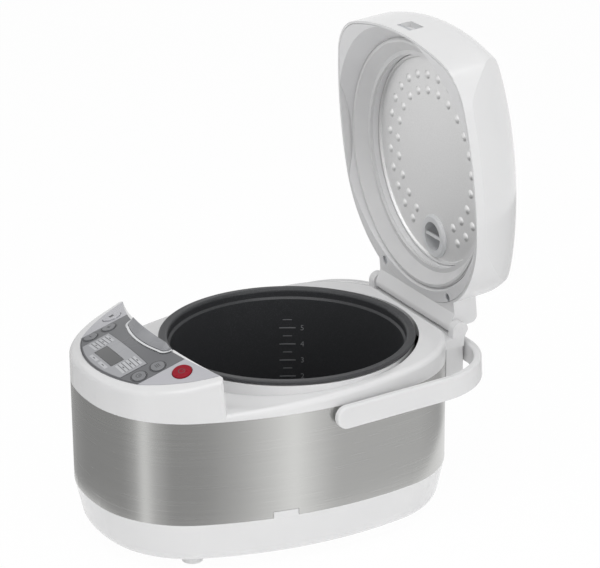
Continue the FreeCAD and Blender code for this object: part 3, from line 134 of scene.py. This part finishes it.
# Each stop is a direction in degrees and how bright the cloth is there.
stops = ((-180, 0.5), (-150, 0.9), (-130, 0.45), (-112, 0.33), (-82, 0.36), (-75, 0.5), (-70, 1.0),
         (-65, 0.6), (-57, 0.38), (-42, 0.4), (-31, 0.58), (-20, 0.85), (-11, 1.1), (-4, 0.85), (6, 0.6),
         (45, 0.6), (80, 0.45), (104, 0.9), (115, 0.45), (140, 0.4), (165, 0.8))
while len(strips.color_ramp.elements) < len(stops):
    strips.color_ramp.elements.new(0.5)
for mark, (degrees, level) in zip(strips.color_ramp.elements, stops):
    mark.position = (degrees + 180) / 360
    mark.color = (level, level, level, 1)
glow = add(tree, "ShaderNodeEmission", {"Color": strips.outputs[0], "Strength": 1.0})
add(tree, "ShaderNodeOutputMaterial", {"Surface": glow.outputs[0]})
turns = [2 * math.pi * i / tent_steps for i in range(tent_steps)]
tent = piece("light_tent",
             [(tent_x * math.cos(a), tent_y * math.sin(a), z) for z in (tent_low, tent_top) for a in turns],
             [(i, (i + 1) % tent_steps, (i + 1) % tent_steps + tent_steps, i + tent_steps)
              for i in range(tent_steps)], cloth)
for kind in ("camera", "diffuse", "transmission", "volume_scatter", "shadow"):
    setattr(tent, f"visible_{kind}", False)

# Three soft boxes: above, in front, and on the side that faces the camera.
for name, spot, aim, width, power in (
        ("top_box", (0.3, -0.2, 1.9), (0, 0, 0.1), 1.6, 13),
        ("front_box", (0.4, -2.0, 1.1), (0, 0, 0.15), 1.2, 6),
        ("side_box", (2.3, 0.5, 0.9), (0, 0, 0.2), 1.2, 13)):
    lamp = bpy.data.lights.new(name, "AREA")
    lamp.size = width
    lamp.energy = power
    holder = bpy.data.objects.new(name, lamp)
    holder.location = spot
    holder.rotation_euler = (Vector(aim) - Vector(spot)).to_track_quat("-Z", "Y").to_euler()
    scene.collection.objects.link(holder)


# White mouldings: base, top housing, lid, bail, drip cup and steam cap of white ABS, moulded in
# polished tools: smooth and glossy, with the faint waviness of a thick moulding. The lid's liner and
# the latch hook come from finely blasted tools and are satin.
def paint(finish, *names):
    """Gives carried nodes a finish."""
    for name in names:
        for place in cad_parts[name].material_slots:
            place.material = finish


# Most of a noise lies between these two levels, and a bump is up to a tenth of a millimetre high.
noise_low, noise_high, bump_high, gloss_drift = 0.3, 0.7, 0.0001, 0.12


def plastic(name, light, dark, gloss, grain_mm, grain, drift_mm=60, sheen=0.5):
    """A moulded plastic: two close shades, a gloss that drifts a little and a fine moulded skin."""
    finish, tree = new_tree(name)
    spot = add(tree, "ShaderNodeTexCoord")
    drift = add(tree, "ShaderNodeTexNoise", {"Vector": spot.outputs["Object"], "Scale": 1000 / drift_mm})
    shade = add(tree, "ShaderNodeMix", {0: drift.outputs[0], 6: linear(light), 7: linear(dark)},
                data_type="RGBA")
    rough = add(tree, "ShaderNodeMapRange", {0: drift.outputs[0], 1: noise_low, 2: noise_high,
                                             3: gloss * (1 - gloss_drift), 4: gloss * (1 + gloss_drift)})
    skin = add(tree, "ShaderNodeTexNoise", {"Vector": spot.outputs["Object"], "Scale": 1000 / grain_mm})
    bumps = add(tree, "ShaderNodeBump",
                {"Height": skin.outputs[0], "Strength": grain, "Distance": bump_high})
    shader = add(tree, "ShaderNodeBsdfPrincipled", {
        "Base Color": shade.outputs[2], "Roughness": rough.outputs[0], "Normal": bumps.outputs[0],
        "IOR": 1.54, "Specular IOR Level": sheen})
    add(tree, "ShaderNodeOutputMaterial", {"Surface": shader.outputs[0]})
    return finish


gloss_abs = plastic("abs_white_polished", "E9E9E9", "E3E3E4", 0.16, 9, 0.06)
satin_abs = plastic("abs_white_satin", "E6E6E7", "E0E0E1", 0.34, 1.4, 0.12)
paint(gloss_abs, "base_pan", "upper_housing", "lid_shell", "handle", "condensate_cup", "steam_cap")
paint(satin_abs, "lid_liner", "latch_hook")


# Steel band: thin stainless sheet wrapped round the body, brushed along its length.
# The brush lines run level, so lights draw out into upright streaks.
brushed, tree = new_tree("stainless_sheet_brushed")
spot = add(tree, "ShaderNodeTexCoord")
# Real brush lines are about 0.1 mm apart; they are drawn 0.9 mm apart so that they show.
line_mm, run_mm = 0.9, 120
stretch = add(tree, "ShaderNodeMapping", {"Vector": spot.outputs["Object"],
                                          "Scale": (1000 / run_mm, 1000 / run_mm, 1000 / line_mm)})
lines = add(tree, "ShaderNodeTexNoise", {"Vector": stretch.outputs[0], "Scale": 1.0, "Detail": 3.0})
shade = add(tree, "ShaderNodeMix", {0: lines.outputs[0], 6: linear("C6C6C4"), 7: linear("D0D0CE")},
            data_type="RGBA")
rough_low, rough_high, scratch_depth = 0.2, 0.28, 0.03
rough = add(tree, "ShaderNodeMapRange",
            {0: lines.outputs[0], 1: noise_low, 2: noise_high, 3: rough_low, 4: rough_high})
scratch = add(tree, "ShaderNodeBump",
              {"Height": lines.outputs[0], "Strength": scratch_depth, "Distance": bump_high})
shader = add(tree, "ShaderNodeBsdfPrincipled", {
    "Base Color": shade.outputs[2], "Metallic": 1.0, "Roughness": rough.outputs[0],
    "Normal": scratch.outputs[0]})
add(tree, "ShaderNodeOutputMaterial", {"Surface": shader.outputs[0]})
paint(brushed, "steel_band")


# Feet and gasket: moulded silicone rubber, dull, with a faint dusty bloom. The feet stand under the
# base, and the gasket lies in the liner's bowl round the inner lid.
foot_rubber = plastic("silicone_pale", "F0F0F0", "E8E8E8", 0.5, 0.9, 0.15, 12)
gasket_rubber = plastic("silicone_white", "E0E0E0", "D6D6D7", 0.4, 1.2, 0.1, 20)
paint(foot_rubber, "feet")
paint(gasket_rubber, "lid_gasket")


# Console films: polyester sheets printed on the back, mid grey in the middle and silver at the sides.
# They have the slight orange peel of a textured film.
grey_film = plastic("polyester_film_grey", "67686B", "616265", 0.3, 0.8, 0.1, 40)
pale_film = plastic("polyester_film_pale", "A6A7AA", "9FA0A4", 0.28, 0.8, 0.1, 30)
silver_film = plastic("polyester_film_silver", "BDBDC2", "B4B4B9", 0.26, 0.8, 0.12, 40)
paint(grey_film, "panel_grey")
paint(pale_film, "display_surround")
paint(silver_film, "side_panel_left", "side_panel_right")


# Display: a tinted acrylic pane, polished, over a module in a housing of textured black ABS, which the
# mains inlet has too. The control board under them wears a glossy green solder mask.
pane = plastic("acrylic_tinted", "575859", "4F5051", 0.1, 4, 0.02, 25)
black_abs = plastic("abs_black_textured", "1B1B1C", "141415", 0.45, 0.7, 0.25, 15)
green_mask = plastic("board_solder_mask", "1E4A33", "183F2B", 0.3, 2, 0.1, 8)
paint(pane, "display_window")
paint(black_abs, "display_module", "inlet_socket")
paint(green_mask, "control_board")


# Keys and release bar: the start key in dark red ABS, the small keys grey, the cancel key and the
# bar painted silver with a fine metallic flake.
red_abs = plastic("abs_dark_red", "9C1428", "8C0F22", 0.3, 3, 0.05, 8, 0.12)
grey_abs = plastic("abs_grey_soft", "7E7F82", "77787B", 0.32, 0.6, 0.12, 6)
silver_abs = plastic("abs_silver_paint", "BDBDC2", "B4B4B9", 0.28, 0.6, 0.12, 6)
flake_abs = plastic("abs_flake_silver", "A3A4A7", "85868A", 0.27, 0.6, 0.15, 30)
paint(red_abs, "start_key")
paint(grey_abs, "menu_key", "timer_key", "plus_key", "minus_key")
paint(silver_abs, "cancel_key")
paint(flake_abs, "release_bar")


# Console print: key rings and signs, label fields beside the display, film borders. Screen-printed
# ink a few hundredths of a millimetre thick, drawn as thin closed slabs that follow the crowned console.
ridge = Vector((0, -0.131, 0.199))
slope = math.radians(17.5)
crown = 0.430
rearward = Vector((0, math.cos(slope), math.sin(slope)))
out = Vector((0, -math.sin(slope), math.cos(slope)))
ink_mm = 0.05
film_lift, surround_lift, key_lift = 0.6, 0.9, 1.6


def on_console(x, along, lift):
    """A point x mm across and along mm up the slope from the ridge, lift mm above the crowned face."""
    sag = crown - math.sqrt(crown ** 2 - (x / 1000) ** 2)
    return Vector((x / 1000, 0, 0)) + ridge + rearward * (along / 1000) + out * (lift / 1000 - sag)


def cut_across(patch, longest=4):
    """A four-sided patch in parts of at most that many mm across, so that they follow the crown."""
    start, end, far_end, far_start = (Vector(corner) for corner in patch)
    count = math.ceil((end - start).length / longest)
    near = [start.lerp(end, i / count) for i in range(count + 1)]
    far = [far_start.lerp(far_end, i / count) for i in range(count + 1)]
    return [[near[i], near[i + 1], far[i + 1], far[i]] for i in range(count)]


def ink(name, patches, lift, finish, body):
    """Printed patches, each an outline of (x, along) points in mm, as one piece on a body."""
    points, faces = [], []
    for patch in [part for whole in patches for part in cut_across(whole)]:
        first, count = len(points), len(patch)
        points += [on_console(x, y, lift + ink_mm) for x, y in patch]
        points += [on_console(x, y, lift - ink_mm) for x, y in patch]
        faces.append(tuple(range(first, first + count)))
        faces.append(tuple(reversed(range(first + count, first + 2 * count))))
        for i in range(count):
            j = (i + 1) % count
            faces.append((first + i, first + count + i, first + count + j, first + j))
    made = piece(name, points, faces, finish, smooth=False)
    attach(made, body)
    return made


def bar(x0, y0, x1, y1):
    """An upright rectangle patch."""
    return [(x0, y0), (x1, y0), (x1, y1), (x0, y1)]


def ring_parts(x, y, inner, outer, start=0, sweep=360, steps=48):
    """A ring, or a part of one, as short four-sided patches."""
    cuts = [math.radians(start + sweep * i / steps) for i in range(steps + 1)]
    near = [(x + inner * math.cos(a), y + inner * math.sin(a)) for a in cuts]
    far = [(x + outer * math.cos(a), y + outer * math.sin(a)) for a in cuts]
    return [[near[i], far[i], far[i + 1], near[i + 1]] for i in range(steps)]


dark_ink = plastic("ink_dark_grey", "3C3D40", "333437", 0.4, 1, 0.05, 5)
mid_ink = plastic("ink_mid_grey", "626366", "5A5B5E", 0.4, 1, 0.05, 5)
pale_ink = plastic("ink_pale_grey", "C4C5C8", "BCBDC0", 0.4, 1, 0.05, 5)
small_x, large_x = 52.5, 75


def key_along(x, y):
    """How far along the slope a key at x, y lies, in mm, on the crowned face."""
    sag = 1000 * crown - math.sqrt((1000 * crown) ** 2 - x ** 2)
    return (y - 1000 * ridge.y - sag * math.sin(slope)) / math.cos(slope)


upper_y, lower_y, side_y = -157, -175.5, -144
upper, lower = key_along(small_x, upper_y), key_along(small_x, lower_y)
side_key = key_along(large_x, side_y)
ring_inner, ring_outer = 7.5, 8.1
for name, x, y in (("menu", small_x, upper), ("timer", small_x, lower), ("plus", -small_x, upper),
                   ("minus", -small_x, lower)):
    ring = ring_parts(x, y, ring_inner, ring_outer)
    ink(f"{name}_key_ring", ring, film_lift, dark_ink, "base")

# Signs: three lines, a clock, plus, minus, the on sign and a square, with sizes in mm.
sign_half, stroke_half, line_half, line_pitch, square_half = 2.4, 0.45, 0.35, 1.6, 2.3
hand_half, long_hand, short_hand, clock_inner, clock_outer = 0.3, 1.8, 1.5, 2.1, 2.7
on_inner, on_outer, on_low, on_high = 2.6, 3.3, 0.8, 3.8
signs = {
    "menu": [bar(small_x - sign_half, upper + d - line_half, small_x + sign_half, upper + d + line_half)
             for d in (-line_pitch, 0, line_pitch)],
    "timer": ring_parts(small_x, lower, clock_inner, clock_outer) + [
        bar(small_x - hand_half, lower, small_x + hand_half, lower + long_hand),
        bar(small_x, lower - hand_half, small_x + short_hand, lower + hand_half)],
    "plus": [bar(-small_x - sign_half, upper - stroke_half, -small_x + sign_half, upper + stroke_half),
             bar(-small_x - stroke_half, upper + stroke_half, -small_x + stroke_half, upper + sign_half),
             bar(-small_x - stroke_half, upper - sign_half, -small_x + stroke_half, upper - stroke_half)],
    "minus": [bar(-small_x - sign_half, lower - stroke_half, -small_x + sign_half, lower + stroke_half)],
    "start": ring_parts(large_x, side_key, on_inner, on_outer, start=125, sweep=290) + [
        bar(large_x - line_half, side_key + on_low, large_x + line_half, side_key + on_high)],
    "cancel": [bar(-large_x - square_half, side_key - square_half,
                   -large_x + square_half, side_key + square_half)],
}
for name, patches in signs.items():
    ink(f"{name}_sign", patches, key_lift, dark_ink, name)

# Label fields: six rows on each side of the display, with short dashes on every other one and thin
# lines between them, and two tabs in front of it.
fields, dashes = [], []
rows, first_row, row_pitch, row_high, field_start, field_end = 6, -56.5, 3.6, 2.5, 21.5, 37.5
dash_half, dash_low, dash_high, line_front, line_rear = 1.6, 0.7, 1.8, 0.3, 0.25
for row in range(rows):
    y = first_row + row * row_pitch
    for sign in (-1, 1):
        ends = sorted((sign * field_start, sign * field_end))
        fields.append(bar(ends[0], y, ends[1], y + row_high))
        middle = sum(ends) / 2
        if row % 2:
            dashes.append(bar(middle - dash_half, y + dash_low, middle + dash_half, y + dash_high))
        if row < rows - 1:
            dashes.append(bar(ends[0], y + row_high + line_front, ends[1], y + row_pitch - line_rear))
tab_middle, tab_half, tab_front, tab_rear = 9.5, 7.5, -65, -61.4
tab_dash_half, tab_dash_front, tab_dash_rear, over_fields = 2, -63.6, -62.7, 0.04
for x in (-tab_middle, tab_middle):
    fields.append(bar(x - tab_half, tab_front, x + tab_half, tab_rear))
    dashes.append(bar(x - tab_dash_half, tab_dash_front, x + tab_dash_half, tab_dash_rear))
ink("label_fields", fields, surround_lift, pale_ink, "base")
ink("label_lines", dashes, surround_lift + over_fields, mid_ink, "base")


def arc_strip(half, reach, radius, inner, outer, steps=40):
    """A line along an arc that bulges forward through (-half, reach) and (half, reach)."""
    middle = reach + math.sqrt(radius ** 2 - half ** 2)
    cuts = [-half + 2 * half * i / steps for i in range(steps + 1)]
    near = [(x, middle - math.sqrt(inner ** 2 - x ** 2)) for x in cuts]
    far = [(x, middle - math.sqrt(outer ** 2 - x ** 2)) for x in cuts]
    return [[far[i], far[i + 1], near[i + 1], near[i]] for i in range(steps)]


border = arc_strip(half=60.5, reach=-54, radius=119, inner=118.0, outer=118.7)
side_in, side_out, side_front, rear_in, rear_out = 41.1, 41.7, -61, -33.4, -32.8
border += [bar(-side_out, rear_in, side_out, rear_out), bar(side_in, side_front, side_out, rear_in),
           bar(-side_out, side_front, -side_in, rear_in)]
ink("film_border", border, film_lift, dark_ink, "base")


# Release grip: the edge of the release bar that rises to the rear for a finger. It is one moulding
# with the bar, in the same silver paint, and is drawn over the bar's own outline.
bar_half, bar_corner, bar_front, bar_front_radius, bar_rear_radius = 40, 7, -15.4, 112, 285
grip_half, grip_rear, grip_low, grip_high, grip_steps = 39.2, -7.5, 2.25, 4.5, 60
grip_inset, grip_sunk, grip_ramp = 0.4, 0.4, 5
straight = bar_half - bar_corner


def fall(x, half, radius):
    """How far an arc through (-half, 0) and (half, 0) lies past that line at x."""
    return math.sqrt(radius ** 2 - x ** 2) - math.sqrt(radius ** 2 - half ** 2)


points = []
for i in range(grip_steps + 1):
    x = -grip_half + 2 * grip_half * i / grip_steps
    bend = max(abs(x) - straight, 0)
    if bend:
        near = bar_front + bar_corner - math.sqrt(bar_corner ** 2 - bend ** 2)
    else:
        near = bar_front - fall(x, straight, bar_front_radius)
    near += grip_inset
    far = grip_rear - fall(x, bar_half, bar_rear_radius)
    rise = grip_high * min(1, (bar_half - abs(x)) / grip_ramp)
    points += [on_console(x, near, grip_low - grip_sunk), on_console(x, near, grip_low),
               on_console(x, far, grip_low + rise), on_console(x, far, grip_low - grip_sunk)]
faces = [(4 * i + k, 4 * i + 4 + k, 4 * i + 4 + (k + 1) % 4, 4 * i + (k + 1) % 4)
         for i in range(grip_steps) for k in range(4)]
faces += [(0, 1, 2, 3), tuple(4 * grip_steps + k for k in (3, 2, 1, 0))]
grip = piece("release_grip", points, faces, flake_abs, smooth=False)
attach(grip, "release")


# Hinge covers: a flared apron that runs from the lid's neck over the hinge barrel, and a plug in
# the outer end of each pin bore, in the same white ABS.
axis = Vector((0, 0.141, 0.173))
lid_open, deck_tilt = math.radians(-88.3), math.radians(4)
opened = Euler((lid_open, 0, 0)).to_matrix()
tilt = Euler((deck_tilt, 0, 0)).to_matrix()
parting = Vector((0, 0, 0.1635))
barrel, apron_half, apron_reach, apron_thick = 0.00645, 0.0692, 0.0132, 0.001
# The apron's outer face runs from the neck's parting edge to where it touches the barrel.
centre = tilt.transposed() @ (axis - parting)
top = Vector((0, centre.y - apron_reach, 0))
gap = top - centre
swing = math.acos(barrel / gap.length)
heading = math.atan2(gap.z, gap.y) + swing
tangent = centre + barrel * Vector((0, math.cos(heading), math.sin(heading)))
profile = [top, tangent, centre, top + Vector((0, 0, apron_thick))]
points = [axis + opened @ (parting + tilt @ (spot + Vector((x, 0, 0))) - axis)
          for x in (-apron_half, apron_half) for spot in profile]
faces = [(3, 2, 1, 0), (4, 5, 6, 7)] + [(i, (i + 1) % 4, (i + 1) % 4 + 4, i + 4) for i in range(4)]
apron = piece("hinge_apron", points, faces, gloss_abs, smooth=False)
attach(apron, "lid")
plug_radius, plug_inner, plug_outer, plug_sides = 0.0025, 0.0781, 0.079, 24
for side, sign in (("right", 1), ("left", -1)):
    turns = [2 * math.pi * i / plug_sides for i in range(plug_sides)]
    points = [axis + Vector((sign * x, plug_radius * math.cos(a), plug_radius * math.sin(a)))
              for x in (plug_inner, plug_outer) for a in turns]
    faces = [tuple(range(plug_sides)), tuple(reversed(range(plug_sides, 2 * plug_sides)))]
    faces += [(i, i + plug_sides, (i + 1) % plug_sides + plug_sides, (i + 1) % plug_sides)
              for i in range(plug_sides)]
    plug = piece(f"pin_plug_{side}", points, [f[::-sign] for f in faces], gloss_abs, smooth=False)
    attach(plug, "base")


# Metal fittings: zinc plated steel screws, pins and catch, polished trim and prongs, a cast heating
# plate and sensor, and a sheet heat shield. Plating and polish give sharp lights, casting a dull grain.
def metal(name, light, dark, rough_low, rough_high, mark_mm, depth):
    """A plain metal: two close shades, a gloss that varies and small marks in the surface."""
    finish, tree = new_tree(name)
    spot = add(tree, "ShaderNodeTexCoord")
    marks = add(tree, "ShaderNodeTexNoise", {"Vector": spot.outputs["Object"], "Scale": 1000 / mark_mm})
    shade = add(tree, "ShaderNodeMix", {0: marks.outputs[0], 6: linear(light), 7: linear(dark)},
                data_type="RGBA")
    rough = add(tree, "ShaderNodeMapRange",
                {0: marks.outputs[0], 1: noise_low, 2: noise_high, 3: rough_low, 4: rough_high})
    dents = add(tree, "ShaderNodeBump",
                {"Height": marks.outputs[0], "Strength": depth, "Distance": bump_high})
    shader = add(tree, "ShaderNodeBsdfPrincipled", {
        "Base Color": shade.outputs[2], "Metallic": 1.0, "Roughness": rough.outputs[0],
        "Normal": dents.outputs[0]})
    add(tree, "ShaderNodeOutputMaterial", {"Surface": shader.outputs[0]})
    return finish


zinc = metal("steel_zinc_plated", "B8BABD", "A9ACB0", 0.26, 0.4, 1.5, 0.2)
polished = metal("steel_polished", "D9DADB", "CFD0D2", 0.06, 0.12, 3, 0.05)
cast_alloy = metal("aluminium_cast", "B5B6B8", "A5A6A9", 0.34, 0.5, 1.0, 0.35)
plain_sheet = metal("aluminium_sheet", "C3C4C6", "B6B7BA", 0.28, 0.4, 2.5, 0.15)
paint(zinc, "base_screws", "lid_screws", "hinge_pin", "handle_pivots", "lid_catch")
paint(polished, "release_trim", "inlet_pins")
paint(cast_alloy, "heating_plate", "centre_sensor")
paint(plain_sheet, "heat_shield")


# Inner lid: pressed aluminium sheet with a satin anodised face, which spreads every light wide, and
# a steam valve of pale moulded polypropylene set in it.
satin_sheet = metal("aluminium_satin_anodised", "E6E6E6", "DEDEDE", 0.5, 0.6, 1.2, 0.08)
pale_pp = plastic("polypropylene_pale", "DEDFE0", "D4D6D8", 0.32, 1.5, 0.1, 15)
paint(satin_sheet, "inner_lid_plate")
paint(pale_pp, "steam_vent")


# Gasket flange: a thin collar on the gasket's lip, moulded in one with it from the same silicone.
# It closes the groove between the lip and the liner's bowl.
# The corners of its profile are a radius and a height in metres, with the lid shut.
flange_profile = [(0.1167, 0.1739), (0.1194, 0.1741), (0.1191, 0.1747), (0.1163, 0.1745)]
flange_steps = 96
turns = [2 * math.pi * i / flange_steps for i in range(flange_steps)]
points = [axis + opened @ (Vector((r * math.cos(a), r * math.sin(a), z)) - axis)
          for r, z in flange_profile for a in turns]
faces = [(k * flange_steps + i, k * flange_steps + j, (k + 1) % 4 * flange_steps + j,
          (k + 1) % 4 * flange_steps + i)
         for k in range(4) for i, j in zip(range(flange_steps), list(range(1, flange_steps)) + [0])]
flange = piece("gasket_flange", points, faces, gasket_rubber)
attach(flange, "lid")


# Inner pot: drawn aluminium with a dark baked non-stick coat, speckled with mica. The coat is sprayed
# on, so its gloss clouds a little.
coat, tree = new_tree("fluoropolymer_nonstick")
# The real mica flakes are about 0.2 mm; they are drawn 0.9 mm so that they show.
flake_mm, flake_core, flake_edge, cloud_mm, grain_mm = 0.9, 0.12, 0.3, 30, 1.1
rough_low, rough_high, grain_depth = 0.3, 0.4, 0.15
spot = add(tree, "ShaderNodeTexCoord")
flakes = add(tree, "ShaderNodeTexVoronoi", {"Vector": spot.outputs["Object"], "Scale": 1000 / flake_mm})
sparse = add(tree, "ShaderNodeMapRange",
             {0: flakes.outputs["Distance"], 1: flake_core, 2: flake_edge, 3: 1.0, 4: 0.0})
shade = add(tree, "ShaderNodeMix", {0: sparse.outputs[0], 6: linear("3A3B3D"), 7: linear("5C5D60")},
            data_type="RGBA")
cloud = add(tree, "ShaderNodeTexNoise", {"Vector": spot.outputs["Object"], "Scale": 1000 / cloud_mm})
rough = add(tree, "ShaderNodeMapRange",
            {0: cloud.outputs[0], 1: noise_low, 2: noise_high, 3: rough_low, 4: rough_high})
grain = add(tree, "ShaderNodeTexNoise", {"Vector": spot.outputs["Object"], "Scale": 1000 / grain_mm})
bumps = add(tree, "ShaderNodeBump",
            {"Height": grain.outputs[0], "Strength": grain_depth, "Distance": bump_high})
shader = add(tree, "ShaderNodeBsdfPrincipled", {
    "Base Color": shade.outputs[2], "Roughness": rough.outputs[0], "Normal": bumps.outputs[0], "IOR": 1.36})
add(tree, "ShaderNodeOutputMaterial", {"Surface": shader.outputs[0]})
paint(coat, "inner_pot")


# Level marks: a scale of bars and numbers pressed into the pot's wall and filled with pale enamel,
# on two opposite sides. The digits are bent to the wall's curve.
enamel = plastic("enamel_pale_grey", "8F9092", "87888A", 0.4, 1.5, 0.05, 6)
wall, mark_depth = 0.109, 0.00012
first_level, level_pitch, level_count = 0.064, 0.017, 5
levels = [first_level + level_pitch * i for i in range(level_count)]
mark_turns = (152, -28)
long_half, long_high, short_half, short_high = 0.008, 0.0005, 0.0045, 0.0004
bar_steps, digit_high, digit_across = 6, 0.008, 0.0145


def on_wall(turn, across, z, inward):
    """A point on the pot's inner wall, across metres to the side of a column at that angle."""
    angle = math.radians(turn) - across / wall
    return ((wall - inward) * math.cos(angle), (wall - inward) * math.sin(angle), z)


for turn in mark_turns:
    points, faces = [], []
    for z in levels:
        for half, high, low in ((long_half, long_high, z), (short_half, short_high, z + level_pitch / 2)):
            for inward in (mark_depth, -mark_depth):
                for edge in (-high, high):
                    points += [on_wall(turn, -half + 2 * half * i / bar_steps, low + edge, inward)
                               for i in range(bar_steps + 1)]
            row = bar_steps + 1
            first = len(points) - 4 * row
            for i in range(bar_steps):
                a, b, c, d = (first + k * row + i for k in range(4))
                faces += [(a, a + 1, b + 1, b), (c, d, d + 1, c + 1),
                          (a, c, c + 1, a + 1), (b, b + 1, d + 1, d)]
            a, b, c, d = (first + k * row for k in range(4))
            faces += [(a, b, d, c), (a + bar_steps, c + bar_steps, d + bar_steps, b + bar_steps)]
    marks = piece(f"level_bars_{abs(turn)}", points, faces, enamel, smooth=False)
    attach(marks, "pot")
    for order, z in enumerate(levels):
        figure = bpy.data.curves.new("digit", "FONT")
        figure.body = str(order + 1)
        figure.size = digit_high
        figure.align_x = "CENTER"
        figure.align_y = "CENTER"
        figure.extrude = mark_depth
        figure.resolution_u = 3
        holder = bpy.data.objects.new("digit", figure)
        mesh = bpy.data.meshes.new_from_object(holder)
        for vertex in mesh.vertices:
            x, y, depth = vertex.co
            vertex.co = on_wall(turn, x + digit_across, z + y, depth)
        mesh.materials.clear()
        mesh.materials.append(enamel)
        digit = bpy.data.objects.new(f"level_digit_{order + 1}_{abs(turn)}", mesh)
        scene.collection.objects.link(digit)
        bpy.data.objects.remove(holder)
        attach(digit, "pot")
